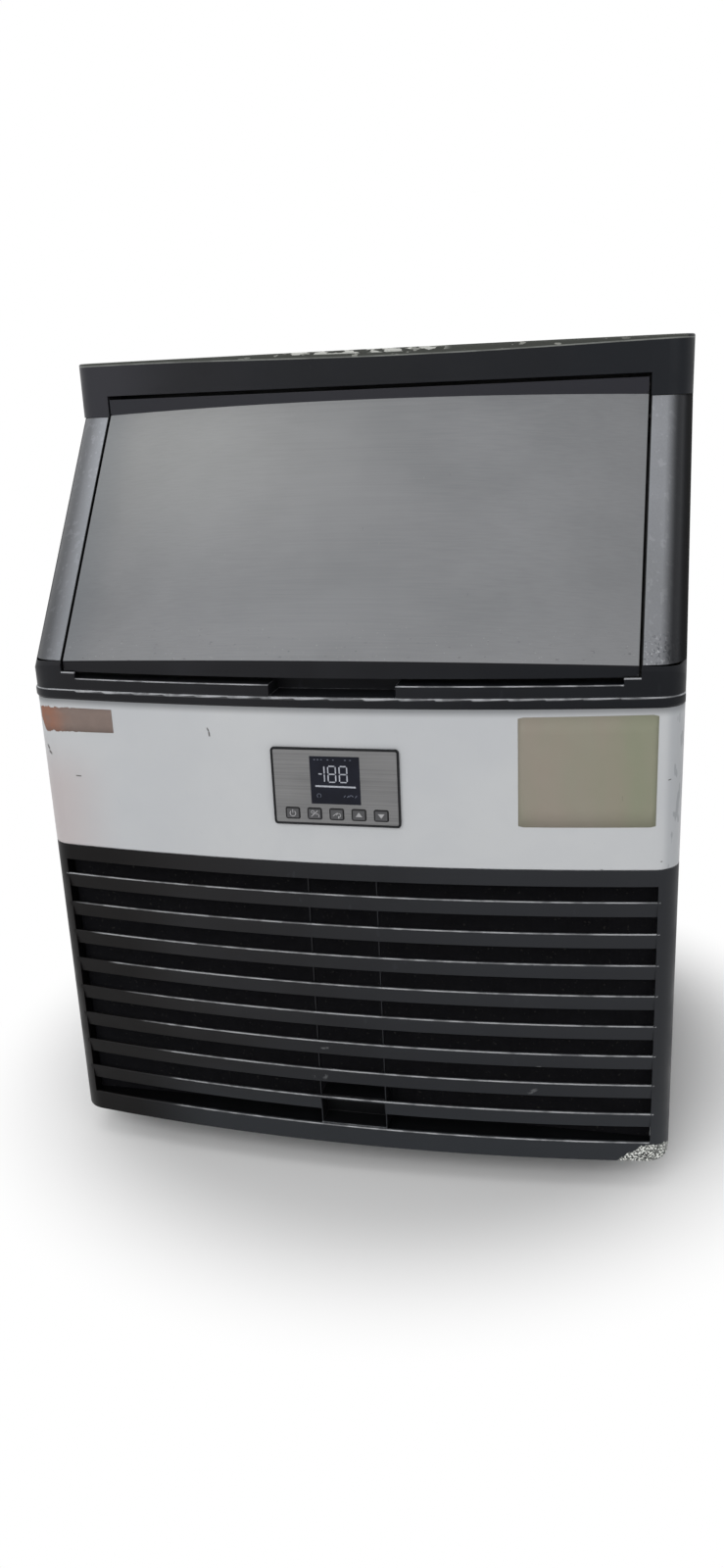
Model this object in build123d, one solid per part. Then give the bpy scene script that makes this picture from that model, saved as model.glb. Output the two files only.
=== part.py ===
"""Under-counter ice maker: a 660 mm wide cabinet with a bowed front, a sloping
lift-up door over the ice bin, a louvred lower grille and, behind it, the
refrigeration set.

Frame: millimetres, +Z up, the front faces -Y, and the origin is the centre of
the footprint on the floor.
"""
from build123d import *
from math import asin, degrees, sqrt
import os

# ---------------------------------------------------------------- driving sizes
WIDTH = 660.0                 # over the side panels
HEIGHT = 850.0                # floor to top
FOOT_GAP = 34.0               # floor to the underside of the grille
BOX_HALF_DEPTH = 282.5        # front of the display to the ends of the rear fittings
FRONT_Y = -255.5              # front faces where they meet the sides
BACK_Y = 262.0                # outside of the back panel
BOW = 24.5                    # how far the middle of the front stands ahead of its sides
CORNER_R = 28.0               # rounding of the front's upright corners
WRAP_Y = FRONT_Y + CORNER_R + 0.5   # where the wrapped fronts end on the sides

GRILLE_TOP = 361.5            # white panel starts here
PANEL_TOP = 522.5             # sill starts here
LIP_TOP = 533.5               # proud bead along the foot of the sill
LEDGE_TOP = 545.0             # sill's ledge under the door
STEP_TOP = 551.0              # sill under the door's two lower corners
SILL_TOP = 562.0              # sill's ends, where the steel pillars start
HEADER_BOTTOM = 793.5         # header's ends, where the steel pillars stop
NOTCH_TOP = 815.2             # header above the door
SETBACK = 182.8               # header behind the front
HEADER_Y = FRONT_Y + SETBACK

HALF = WIDTH / 2
BOW_R = (HALF**2 + BOW**2) / (2 * BOW)
BOW_CENTRE_Y = -BOW + BOW_R   # from the plane of the corners

# the sloping face: foot and head of the line that it follows at the sides
SLOPE_FOOT = (FRONT_Y + 3.0, 560.0)
SLOPE_HEAD = (HEADER_Y, HEADER_BOTTOM - 0.5)
SLOPE_RUN = SLOPE_HEAD[0] - SLOPE_FOOT[0]
SLOPE_RISE = SLOPE_HEAD[1] - SLOPE_FOOT[1]
SLOPE_LENGTH = sqrt(SLOPE_RUN**2 + SLOPE_RISE**2)
ALONG = (SLOPE_RUN / SLOPE_LENGTH, SLOPE_RISE / SLOPE_LENGTH)   # up the slope, as (y, z)
INWARD = (ALONG[1], -ALONG[0])                                  # into the cabinet

# door
DOOR_HALF = 287.2
NOTCH_HALF = 289.5
DOOR_TOP = 811.3
DOOR_BOTTOM = 551.3
DOOR_DEPTH = 20.0             # flat inner side of the foam, measured into the slope
SKIN = 1.0
HINGE_Y, HINGE_Z = -76.0, 773.0
PIN_R = 4.0
RUNNING = 0.05                # radial clearance of a pin that turns
GAP = 0.3                     # clearance between pieces that pass or face each other
SEAL_DEPTH = 28.3             # bin's sealing face, measured into the slope
SHEET = 1.2                   # steel sheet of the casing

# bin
BIN_HALF = 290.0
BIN_FLOOR = 402.0
BIN_TOP = 812.0
BIN_FRONT_Y = -205.0
BIN_BACK_Y = 222.0
LINER = 2.5
MOUTH_HALF = 250.0
MOUTH_FROM, MOUTH_TO = 30.0, 250.0    # distances up the slope
BAY_FLOOR = 755.5             # hinge bay behind the header
BAY_BACK_Y = -18.0
FOAM_HALF = 328.0
FOAM_BACK_Y = 259.0
DUCT_X = -150.0               # service duct up the back, between this and the left wall
DUCT_Y = BIN_BACK_Y + 21.0    # pipes in the duct
LIQUID_X = -158.0
LIQUID_R = 3.2
HOSE_PORT = (-262.0, 640.0)   # water hose through the bin's back wall, as (x, z)

# evaporator, above the back of the bin
GRID_HALF = 190.0
GRID_Z = (640.0, 785.0)
GRID_Y = (118.0, 140.0)
FRAME_X = 195.0
SUMP_TOP = 615.0
CURTAIN_Y, CURTAIN_Z = 85.5, 797.0
FLOAT_POST = (-222.0, 135.0)
PUMP = (236.0, 135.0)
PUMP_FLOOR = 568.0
COIL_R = 5.0
COIL_Y = GRID_Y[1] + COIL_R
COIL_PORT_X = -172.0

# machine compartment
FAN_X, FAN_Z = -130.0, 197.0
FAN_R = 100.0
COMPRESSOR = (150.0, 120.0)
CONDENSER_END_X = 30.0        # where its pipes leave it
CONDENSER_Y = -204.0
CONDENSER_LOW_Z, CONDENSER_HIGH_Z = 85.0, 309.0

# display
DISPLAY_Z = 443.0
KEY_Z = 415.0
KEY_PITCH = 22.5
KEY_NAMES = ["key_power", "key_mode", "key_set", "key_up", "key_down"]
KEY = (14.5, 12.0)
BEZEL = (129.0, 80.0)
FASCIA = (124.4, 75.4)
FASCIA_Y = -BOX_HALF_DEPTH + 0.9      # front of the brushed plate
FASCIA_SHEET = 0.9
LENS = (50.0, 49.0, 450.0)            # width, height and centre height of the screen

# grille
LOUVRE_PITCH = 33.9
LOUVRE_FACE = 16.5
LOUVRE_FIRST = FOOT_GAP + 56.2        # top edge of the lowest louvre
WINDOW_HALF = 311.0
WINDOW_Z = (FOOT_GAP + 22.1, FOOT_GAP + 310.0)
GRIP_HALF = 35.0

FEET = {
    "foot_front_left": (-285.0, -180.0),
    "foot_front_right": (285.0, -180.0),
    "foot_rear_left": (-285.0, 222.0),
    "foot_rear_right": (285.0, 222.0),
}
PAN_Z = FOOT_GAP + 0.5        # underside of the base pan

# rear fittings, as (x, z)
INLET = (-240.0, 150.0)
DRAIN = (-120.0, 80.0)
GLAND = (250.0, 90.0)


# ---------------------------------------------------------------- helpers
def block(x0, x1, y0, y1, z0, z1):
    """A box between two corners."""
    centre = Pos((x0 + x1) / 2, (y0 + y1) / 2, (z0 + z1) / 2)
    return centre * Box(x1 - x0, y1 - y0, z1 - z0)


def rod(start, end, radius):
    """A round bar between two points."""
    along = Vector(*end) - Vector(*start)
    return Part() + Solid.make_cylinder(radius, along.length, Plane(origin=start, z_dir=along))


def pipe(points, radius, bend, bore=0.0):
    """A tube of straight runs joined by tangent bends, solid unless it has a bore."""
    path = FilletPolyline(*points, radius=bend)
    plane = Plane(origin=path @ 0, z_dir=path % 0)
    solid = sweep(plane * Circle(radius), path=path)
    if bore:
        solid -= sweep(plane * Circle(bore), path=path)
    return solid


def side_solid(outline, x0, x1):
    """A solid with a (y, z) outline, between two places across the width."""
    face = make_face(Polyline(*[(x0, y, z) for y, z in outline], close=True))
    return extrude(face, amount=x1 - x0, dir=(1, 0, 0))


def both_sides(solid):
    """The right-hand solid and its mirror image, as two separate solids."""
    return Compound([*solid.solids(), *mirror(solid, about=Plane.YZ).solids()])


def slope_point(up, depth):
    """(y, z) of a point a distance up the slope and a depth into it."""
    y = SLOPE_FOOT[0] + up * ALONG[0] + depth * INWARD[0]
    z = SLOPE_FOOT[1] + up * ALONG[1] + depth * INWARD[1]
    return (y, z)


def slope_z(y, depth):
    """Height at which the plane that lies this deep in the slope passes y."""
    y_foot, z_foot = slope_point(0, depth)
    return z_foot + (y - y_foot) * ALONG[1] / ALONG[0]


def slope_box(x0, x1, up0, up1, depth0, depth1):
    """A box that lies along the slope."""
    outline = [slope_point(up0, depth0), slope_point(up1, depth0),
               slope_point(up1, depth1), slope_point(up0, depth1)]
    return side_solid(outline, x0, x1)


def bowed_face(inset, depth=500.0):
    """Plan of the cabinet's bowed front: a flat arc with rounded corners, inset all round."""
    half = HALF - inset
    radius = BOW_R - inset
    y_end = BOW_CENTRE_Y - sqrt(radius**2 - half**2)
    front = ThreePointArc((-half, y_end), (0, BOW_CENTRE_Y - radius), (half, y_end))
    rest = Polyline((half, y_end), (half, depth), (-half, depth), (-half, y_end))
    face = make_face([front, rest])
    corners = face.vertices().sort_by(Axis.Y)[:2]
    return fillet(corners, radius=CORNER_R - inset)


def front_block(inset, z0, z1, setback=0.0):
    """The upright bowed block of the front, or of the header when set back."""
    plane = Plane(origin=(0, FRONT_Y + setback, z0))
    return extrude(plane * bowed_face(inset), amount=z1 - z0, dir=(0, 0, 1))


def slope_block(inset):
    """The bowed block behind the sloping face."""
    start = -120.0
    length = SLOPE_LENGTH + 240.0
    origin = (0, SLOPE_FOOT[0] + start * ALONG[0], SLOPE_FOOT[1] + start * ALONG[1])
    plane = Plane(origin=origin, x_dir=(1, 0, 0), z_dir=(0, *ALONG))
    return extrude(plane * bowed_face(inset), amount=length, dir=(0, *ALONG))


def swept_on_bow(outline, half_width):
    """A bar with a (setback, z) outline that follows the bow of the front."""
    centre_y = FRONT_Y + BOW_CENTRE_Y
    face = make_face(Polyline(*[(0, FRONT_Y - BOW + y, z) for y, z in outline], close=True))
    half_turn = degrees(asin(half_width / BOW_R))
    axis = Axis((0, centre_y, 0), (0, 0, 1))
    bar = revolve(face, axis=axis, revolution_arc=2 * half_turn)
    return bar.rotate(axis, -half_turn)


def plate_with_windows(width, height, columns, rows, border, bar):
    """A flat lattice in the local XY plane."""
    cell_w = (width - 2 * border - (columns - 1) * bar) / columns
    cell_h = (height - 2 * border - (rows - 1) * bar) / rows
    grid = GridLocations(cell_w + bar, cell_h + bar, columns, rows)
    return Rectangle(width, height) - [place * Rectangle(cell_w, cell_h) for place in grid]


# ---------------------------------------------------------------- casing
def base_pan():
    """Folded steel tray with a welded nut over each foot."""
    half_x, y0, y1 = 326.0, -226.0, 258.0
    rim = 26.0
    sheet = 1.5
    pan = block(-half_x, half_x, y0, y1, PAN_Z, PAN_Z + rim)
    pan -= block(-half_x + sheet, half_x - sheet, y0 + sheet, y1 - sheet, PAN_Z + sheet, PAN_Z + rim)
    for x, y in FEET.values():
        pan += rod((x, y, PAN_Z + sheet), (x, y, PAN_Z + 14), 12.0)
        pan -= rod((x, y, PAN_Z - 1), (x, y, PAN_Z + 15), 6.0 + RUNNING)
    return pan


def right_side_panel():
    """Right-hand side sheet, cut to the slope behind the pillar."""
    edge_depth = CORNER_R + 2.5
    header_edge = HEADER_Y + CORNER_R + 2.5
    front_edge = WRAP_Y + 0.5
    outline = [
        (BACK_Y - 1.5, FOOT_GAP + 4),
        (BACK_Y - 1.5, HEIGHT - 2.2),
        (header_edge, HEIGHT - 2.2),
        (header_edge, slope_z(header_edge, edge_depth)),
        (front_edge, slope_z(front_edge, edge_depth)),
        (front_edge, FOOT_GAP + 4),
    ]
    return side_solid(outline, HALF - SHEET, HALF)


def back_panel():
    """Rear sheet with louvre slots and holes for the rear fittings."""
    panel = block(-HALF + 1.5, HALF - 1.5, BACK_Y - SHEET, BACK_Y, FOOT_GAP + 4, HEIGHT - 2.2)
    slots = Sketch() + [place * SlotOverall(140.0, 6.0) for place in GridLocations(190.0, 16.0, 2, 9)]
    panel -= extrude(Plane.XZ.offset(-BACK_Y - 1) * Pos(60.0, 250.0) * slots, amount=4.0)
    for (x, z), radius in ((INLET, 15.0), (DRAIN, 12.0), (GLAND, 9.0)):
        panel -= rod((x, BACK_Y - 3, z), (x, BACK_Y + 1, z), radius)
    for x, z in screw_places():
        panel -= rod((x, BACK_Y - 3, z), (x, BACK_Y + 1, z), 2.0)
    return panel


def screw_places():
    """Back panel's fixing screws, as (x, z)."""
    edge = HALF - 9.0
    return [(side * edge, z) for side in (-1, 1) for z in (60.0, 310.0, 560.0, 830.0)]


def back_screws():
    """Eight pan-head screws round the back panel."""
    screws = []
    for x, z in screw_places():
        head = rod((x, BACK_Y, z), (x, BACK_Y + 2.2, z), 4.0)
        shank = rod((x, BACK_Y - 2.4, z), (x, BACK_Y, z), 1.9)
        slot = block(x - 3, x + 3, BACK_Y + 1.4, BACK_Y + 3, z - 0.5, z + 0.5)
        screws.append((head + shank - slot).solid())
    return Compound(screws)


def top_panel():
    """Flat steel top behind the header."""
    return block(-HALF + 0.2, HALF - 0.2, HEADER_Y + CORNER_R + 2.5, BACK_Y - 0.2, HEIGHT - 2, HEIGHT - 1)


def front_panel():
    """White bowed sheet in front of the bin, wrapped round both corners."""
    z0, z1 = GRILLE_TOP + 0.3, PANEL_TOP
    panel = front_block(0, z0, z1) - front_block(SHEET, z0 - 1, z1 + 1)
    panel &= block(-HALF - 1, HALF + 1, -300, WRAP_Y, z0, z1)
    panel -= block(-61.2, 61.2, -300, -250, DISPLAY_Z - 37.2, DISPLAY_Z + 37.2)
    return panel


def header_fascia():
    """Black moulding over the door: bowed face, top flange and the cheeks of the hinge bay."""
    wall = 3.0
    flange_back = HEADER_Y + CORNER_R + 2.2
    outer = front_block(0, HEADER_BOTTOM, HEIGHT, SETBACK)
    top_edges = outer.edges().filter_by_position(Axis.Z, HEIGHT - 0.1, HEIGHT + 0.1)
    front_edges = [e for e in top_edges if e.center().Y < 100]
    outer = fillet(front_edges, radius=2.0)
    inner = front_block(wall, HEADER_BOTTOM - 1, HEIGHT - wall, SETBACK)
    shell = outer - inner
    shell &= block(-HALF - 1, HALF + 1, -300, flange_back, HEADER_BOTTOM, HEIGHT)
    shell -= block(-NOTCH_HALF, NOTCH_HALF, -300, -20, HEADER_BOTTOM - 1, NOTCH_TOP)
    for side in (-1, 1):
        x0, x1 = sorted((side * NOTCH_HALF, side * (NOTCH_HALF + wall)))
        shell += block(x0, x1, HEADER_Y - 2, flange_back, HEADER_BOTTOM, HEIGHT - 1)
    return shell


def sill_fascia():
    """Black moulding under the door: proud bead, upright face, ledge and finger pocket."""
    wall = 3.0
    proud = 1.5
    pocket_half = 63.0
    pocket_back = -246.0
    step_half = 274.0
    keep = block(-HALF - 5, HALF + 5, -300, WRAP_Y, PANEL_TOP, SILL_TOP)
    keep += block(-HALF - 5, HALF + 5, WRAP_Y - 1, -200, LEDGE_TOP - 5, SILL_TOP) & \
        slope_box(-HALF - 5, HALF + 5, -30, 60, 0, CORNER_R + 2.2)
    foam_zone = slope_box(-FOAM_HALF - GAP, FOAM_HALF + GAP, -30, 60, CORNER_R + 0.2, CORNER_R + 30)

    sill = front_block(0, PANEL_TOP, SILL_TOP) - front_block(wall, PANEL_TOP - 1, SILL_TOP + 1)
    sill -= foam_zone & block(-HALF, HALF, WRAP_Y, -100, LEDGE_TOP - 5, SILL_TOP + 1)
    sill -= block(-step_half, step_half, -300, -200, LEDGE_TOP, SILL_TOP + 1)
    sill -= block(-NOTCH_HALF, NOTCH_HALF, -300, -200, STEP_TOP, SILL_TOP + 1)

    bead = front_block(-proud, PANEL_TOP, LIP_TOP)
    level = [e for e in bead.edges() if abs(e.tangent_at(0.5).Z) < 0.5]
    bead = fillet([e for e in level if e.center().Y < 0], radius=3.0)
    bead -= front_block(wall, PANEL_TOP - 1, LIP_TOP + 1)
    sill += bead
    sill &= keep

    ledge_back = -231.2
    ledge = front_block(wall / 2, LEDGE_TOP - wall, LEDGE_TOP)
    ledge &= block(-NOTCH_HALF, NOTCH_HALF, -300, ledge_back, LEDGE_TOP - wall, LEDGE_TOP)
    sill += ledge
    bevel = [(-0.1, LEDGE_TOP - 1.2), (-0.1, LEDGE_TOP + 0.1), (1.2, LEDGE_TOP + 0.1)]
    sill -= swept_on_bow(bevel, step_half)

    tray = front_block(wall / 2, LIP_TOP - 2.5, LEDGE_TOP - 1)
    tray &= block(-pocket_half - 2.5, pocket_half + 2.5, -300, pocket_back + 2.5, 0, HEIGHT)
    sill += tray
    sill -= block(-pocket_half, pocket_half, -300, pocket_back, LIP_TOP, SILL_TOP)
    return sill & slope_block(0)


def pillar_trims():
    """Steel pillars beside the door; each inner return is the door's jamb and takes a hinge pin."""
    jamb = 2.0
    back = HEADER_Y + CORNER_R + 2.2
    zone = block(NOTCH_HALF, HALF + 1, -300, back, SILL_TOP + 0.3, HEADER_BOTTOM - 0.3)
    slab = slope_block(0) & zone
    deep = slope_box(NOTCH_HALF, HALF + 1, -60, 420, CORNER_R + 2.2, 400)
    skin = slab - slope_block(SHEET) - deep
    jamb_plate = slab & block(NOTCH_HALF, NOTCH_HALF + jamb, -300, 0, SILL_TOP, HEADER_BOTTOM)
    jamb_plate -= slope_box(NOTCH_HALF - 1, HALF, -60, 420, SEAL_DEPTH - GAP, 400)
    pillar = skin + jamb_plate
    pin_ends = [(NOTCH_HALF - 5, HINGE_Y, HINGE_Z), (NOTCH_HALF + 10, HINGE_Y, HINGE_Z)]
    pillar -= rod(*pin_ends, PIN_R + RUNNING)
    return both_sides(pillar)


# ---------------------------------------------------------------- bin
def bin_outline(grow):
    """(y, z) outline of the bin's inside, grown by a wall all round."""
    slope_depth = SEAL_DEPTH + 4.0 + LINER + GAP - grow
    front = BIN_FRONT_Y - grow
    shelf_z = BAY_FLOOR - 4.0 - GAP - LINER + grow
    bay_y = BAY_BACK_Y + GAP + LINER - grow
    y_foot, z_foot = slope_point(0, slope_depth)
    shelf_y = y_foot + (shelf_z - z_foot) * ALONG[0] / ALONG[1]
    return [
        (front, BIN_FLOOR - grow),
        (BIN_BACK_Y + grow, BIN_FLOOR - grow),
        (BIN_BACK_Y + grow, BIN_TOP + grow),
        (bay_y, BIN_TOP + grow),
        (bay_y, shelf_z),
        (shelf_y, shelf_z),
        (front, slope_z(front, slope_depth)),
    ]


def bin_liner():
    """Moulded tub of the ice bin, with its mouth, drain hole and pipe holes."""
    outer = side_solid(bin_outline(LINER), -BIN_HALF - LINER, BIN_HALF + LINER)
    inner = side_solid(bin_outline(0), -BIN_HALF, BIN_HALF)
    liner = outer - inner
    liner -= slope_box(-MOUTH_HALF, MOUTH_HALF, MOUTH_FROM + 8, MOUTH_TO, SEAL_DEPTH, SEAL_DEPTH + 20)
    liner -= rod((DRAIN[0], 180, BIN_FLOOR - 10), (DRAIN[0], 180, BIN_FLOOR + 5), 10.0 + GAP)
    for x, z in pipe_ports():
        liner -= rod((x, BIN_BACK_Y - 5, z), (x, BIN_BACK_Y + 10, z), COIL_R + 1.5)
    hose_x, hose_z = HOSE_PORT
    liner -= rod((hose_x, BIN_BACK_Y - 5, hose_z), (hose_x, BIN_BACK_Y + 10, hose_z), 6.0)
    return liner


def pipe_ports():
    """Where the two evaporator pipes pass the bin's back wall, as (x, z)."""
    return [(COIL_PORT_X, GRID_Z[0] + 15.0), (COIL_PORT_X, GRID_Z[1] - 15.0)]


def bin_throat():
    """White frame round the bin's mouth: sealing face, and the floor and back of the hinge bay."""
    half = BIN_HALF + LINER
    wall = 4.0
    throat = slope_box(-half, half, -12, 272, SEAL_DEPTH, SEAL_DEPTH + wall)
    throat += block(-half, half, -62.5, BAY_BACK_Y, BAY_FLOOR - wall, BAY_FLOOR)
    throat += block(-half, half, BAY_BACK_Y - wall, BAY_BACK_Y, BAY_FLOOR - wall, BIN_TOP + LINER)
    throat -= slope_box(-MOUTH_HALF, MOUTH_HALF, MOUTH_FROM, MOUTH_TO, SEAL_DEPTH - 5, SEAL_DEPTH + 10)
    return throat


def bin_insulation():
    """Foam boards round the bin: floor, front, back, two sides and top."""
    joint = 0.5
    inner = BIN_HALF + LINER + joint
    floor_z0, floor_z1 = GRILLE_TOP + 2.5, BIN_FLOOR - LINER - joint
    front_y0, front_y1 = -240.0, BIN_FRONT_Y - LINER - joint
    top_z0, top_z1 = BIN_TOP + LINER + joint, HEIGHT - 3.5
    back_y0 = BIN_BACK_Y + LINER + joint

    floor = block(-FOAM_HALF, FOAM_HALF, WRAP_Y + 1.0, FOAM_BACK_Y, floor_z0, floor_z1)
    floor -= block(-inner, DUCT_X, back_y0, FOAM_BACK_Y + 1, floor_z0 - 1, floor_z1 + 1)
    floor -= rod((DRAIN[0], 180, floor_z0 - 1), (DRAIN[0], 180, floor_z1 + 1), 11.0)

    wall_z0 = floor_z1 + joint
    seal_back = SEAL_DEPTH + 4.0 + GAP
    front = side_solid([
        (front_y0, wall_z0), (front_y1, wall_z0),
        (front_y1, slope_z(front_y1, seal_back)), (front_y0, slope_z(front_y0, seal_back))],
        -inner + joint, inner - joint)
    back = block(DUCT_X, inner - joint, back_y0, FOAM_BACK_Y, wall_z0, top_z1)
    top = block(-inner + joint, inner - joint, BAY_BACK_Y + joint, back_y0 - joint, top_z0, top_z1)
    side_y0, header_edge, side_depth = WRAP_Y + 1.0, HEADER_Y + CORNER_R + 2.5, CORNER_R + 0.5
    side = side_solid([
        (side_y0, wall_z0), (FOAM_BACK_Y, wall_z0), (FOAM_BACK_Y, top_z1), (header_edge, top_z1),
        (header_edge, slope_z(header_edge, side_depth)), (side_y0, slope_z(side_y0, side_depth))],
        inner, FOAM_HALF)
    sides = both_sides(side)
    return Compound([floor.solid(), front.solid(), back.solid(), top.solid(), *sides.solids()])


def drain_line():
    """Hose from the bin's floor to the spigot on the back panel."""
    x, z = DRAIN
    route = [(x, 180, BIN_FLOOR - 1.0), (x, 180, z), (x, BOX_HALF_DEPTH, z)]
    hose = pipe(route, 10.0, 32.0, bore=7.5)
    collar = rod((x, BACK_Y, z), (x, BACK_Y + 3, z), 15.0)
    collar -= rod((x, BACK_Y - 1, z), (x, BACK_Y + 4, z), 9.0)
    return hose + collar


# ---------------------------------------------------------------- ice making
def evaporator_grid():
    """Plated grid of ice cells, open towards the front."""
    depth = GRID_Y[1] - GRID_Y[0]
    height = GRID_Z[1] - GRID_Z[0]
    lattice = plate_with_windows(2 * GRID_HALF, height, 16, 6, 3.0, 1.8)
    origin = (0, GRID_Y[1] - 2.0, (GRID_Z[0] + GRID_Z[1]) / 2)
    plane = Plane(origin=origin, x_dir=(1, 0, 0), z_dir=(0, -1, 0))
    cells = extrude(plane * lattice, amount=depth - 2.0)
    return cells + block(-GRID_HALF, GRID_HALF, GRID_Y[1] - 2.0, GRID_Y[1], *GRID_Z)


def evaporator_coil():
    """Copper serpentine soldered to the back of the grid, with its two ends led out at the back."""
    (port_x, low_z), (_, high_z) = pipe_ports()
    runs = 6
    pitch = (high_z - low_z) / (runs - 1)
    reach = GRID_HALF - 18.0
    points = [(port_x, BIN_BACK_Y + 12, low_z), (port_x, COIL_Y, low_z)]
    for i in range(runs):
        z = low_z + i * pitch
        ends = [-reach + 30, reach] if i % 2 == 0 else [reach, -reach + 30]
        if i:
            points.append((ends[0], COIL_Y, z))
        if i < runs - 1:
            points.append((ends[1], COIL_Y, z))
    points += [(port_x, COIL_Y, high_z), (port_x, BIN_BACK_Y + 12, high_z)]
    return pipe(points, COIL_R, pitch / 2 - 0.5)


def evaporator_frame():
    """Moulded frame that carries the grid, the spray bar and the curtain's pivots."""
    wall = 6.0
    y0, y1 = 78.0, BIN_BACK_Y
    z0, z1 = SUMP_TOP, BIN_TOP - 0.5
    frame = block(-FRAME_X - wall, FRAME_X + wall, y0, y1, z1 - 4, z1)
    for side in (-1, 1):
        x0, x1 = sorted((side * FRAME_X, side * (FRAME_X + wall)))
        frame += block(x0, x1, y0, y1, z0, z1)
        g0, g1 = sorted((side * GRID_HALF, side * FRAME_X))
        frame += block(g0, g1, GRID_Y[0], GRID_Y[1], *GRID_Z)
        pin_from, pin_to = side * (FRAME_X - 1), side * (FRAME_X + 8)
        frame -= rod((pin_from, CURTAIN_Y, CURTAIN_Z), (pin_to, CURTAIN_Y, CURTAIN_Z), 2.5 + RUNNING)
    frame -= rod((FRAME_X - 1, 112, 794), (FRAME_X + 8, 112, 794), 7.0 + GAP)
    return frame


def water_distributor():
    """Spray bar over the grid, with a row of holes and a hose end."""
    y, z, radius = 112.0, 794.0, 7.0
    bar = rod((-FRAME_X + 1, y, z), (FRAME_X + 14, y, z), radius)
    bar -= rod((-FRAME_X + 4, y, z), (FRAME_X + 15, y, z), radius - 1.8)
    holes = 15
    pitch = 2 * (GRID_HALF - 10) / (holes - 1)
    for i in range(holes):
        x = -GRID_HALF + 10 + i * pitch
        bar -= rod((x, y, z), (x, y + 6, z - 8), 1.2)
    return bar


def water_sump():
    """Open trough under the grid, with the float's post."""
    x0, x1, y0, y1, z0 = -245.0, 268.0, 88.0, 182.0, 562.0
    wall = 2.5
    sump = block(x0, x1, y0, y1, z0, SUMP_TOP)
    sump -= block(x0 + wall, x1 - wall, y0 + wall, y1 - wall, z0 + wall, SUMP_TOP + 1)
    post_x, post_y = FLOAT_POST
    sump += rod((post_x, post_y, z0), (post_x, post_y, SUMP_TOP + 8), 3.0)
    sump += rod((post_x, post_y, z0), (post_x, post_y, z0 + 6), 6.0)
    return sump


def sump_float():
    """Round float that rides up and down its post."""
    x, y = FLOAT_POST
    bottom = 570.0
    disc = rod((x, y, bottom), (x, y, bottom + 16), 12.0)
    return disc - rod((x, y, bottom - 1), (x, y, bottom + 17), 3.0 + 0.08)


def pump_body():
    """Vertical water pump: motor above, column, and the open volute round the impeller."""
    x, y = PUMP
    volute = rod((x, y, PUMP_FLOOR), (x, y, PUMP_FLOOR + 18), 22.0)
    volute -= rod((x, y, PUMP_FLOOR - 1), (x, y, PUMP_FLOOR + 14), 18.0)
    column = rod((x, y, PUMP_FLOOR + 14), (x, y, 650), 9.0)
    motor = rod((x, y, 650), (x, y, 712), 24.0)
    outlet = rod((x - 14, y - 14, PUMP_FLOOR + 14), (x - 14, y - 14, 640), 6.0)
    bracket = block(x - 8, x + 8, y, BIN_BACK_Y, 690, 702)
    shaft_hole = rod((x, y, PUMP_FLOOR), (x, y, PUMP_FLOOR + 40), 2.0 + RUNNING)
    return volute + column + motor + outlet + bracket - shaft_hole


def pump_impeller():
    """Impeller with six straight vanes on a short shaft."""
    x, y = PUMP
    z0 = PUMP_FLOOR + 2
    wheel = rod((x, y, z0 + 8), (x, y, z0 + 10), 16.5) + rod((x, y, z0), (x, y, PUMP_FLOOR + 38), 2.0)
    for i in range(6):
        vane = block(1.0, 16.0, -0.8, 0.8, z0, z0 + 9)
        wheel += Pos(x, y, 0) * Rot(0, 0, 60 * i) * vane
    return wheel


def pump_hose():
    """Hose from the pump's outlet up to the spray bar."""
    x, y = PUMP[0] - 14, PUMP[1] - 14
    bar_y, bar_z = 112.0, 794.0
    route = [(x, y, 640.0), (x, y, 700.0), (x, bar_y, 745.0), (x, bar_y, bar_z)]
    route += [(FRAME_X + 14, bar_y, bar_z)]
    return pipe(route, 6.0, 5.5)


def ice_curtain():
    """Hanging flap in front of the grid; the falling ice swings it open."""
    half = FRAME_X - 3.0
    pivot = rod((-FRAME_X - 4, CURTAIN_Y, CURTAIN_Z), (FRAME_X + 4, CURTAIN_Y, CURTAIN_Z), 2.5)
    flap = block(-half, half, CURTAIN_Y - 3.5, CURTAIN_Y - 1.0, 622, CURTAIN_Z + 1)
    curtain = pivot + flap
    for side in (-1, 0, 1):
        x = side * 110.0
        curtain += block(x - 3, x + 3, CURTAIN_Y - 6, CURTAIN_Y - 3, 630, 785)
    return curtain


# ---------------------------------------------------------------- refrigeration set
def compressor():
    """Hermetic compressor: domed hollow can on a base plate, with its terminal cover."""
    x, y = COMPRESSOR
    z0 = 56.0
    shell = 5.0

    def can(grow):
        body = Pos(x, y, z0 + 96) * Cylinder(82 + grow, 184 + 2 * grow)
        rims = body.edges().filter_by(GeomType.CIRCLE)
        return fillet(rims, radius=34 + grow)

    hull = can(0) - can(-shell)
    hull += Pos(x, y, z0 + 100) * (Cylinder(86, 8) - Cylinder(80, 8))
    hull += block(x - 95, x + 95, y - 62, y + 62, z0 - 4, z0) - rod((x, y, z0 - 5), (x, y, z0 + 1), 20.0)
    hull += rod((x, y, z0 - 1), (x, y, z0 + 8), 40.0) - rod((x, y, z0 - 5), (x, y, z0 + 4.4), 20.0)
    hull += block(x + 76, x + 108, y - 32, y + 32, z0 + 70, z0 + 140)
    for dx in (-80, 80):
        for dy in (-48, 48):
            hull -= rod((x + dx, y + dy, z0 - 6), (x + dx, y + dy, z0 + 1), 6.5)
    return hull


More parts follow.
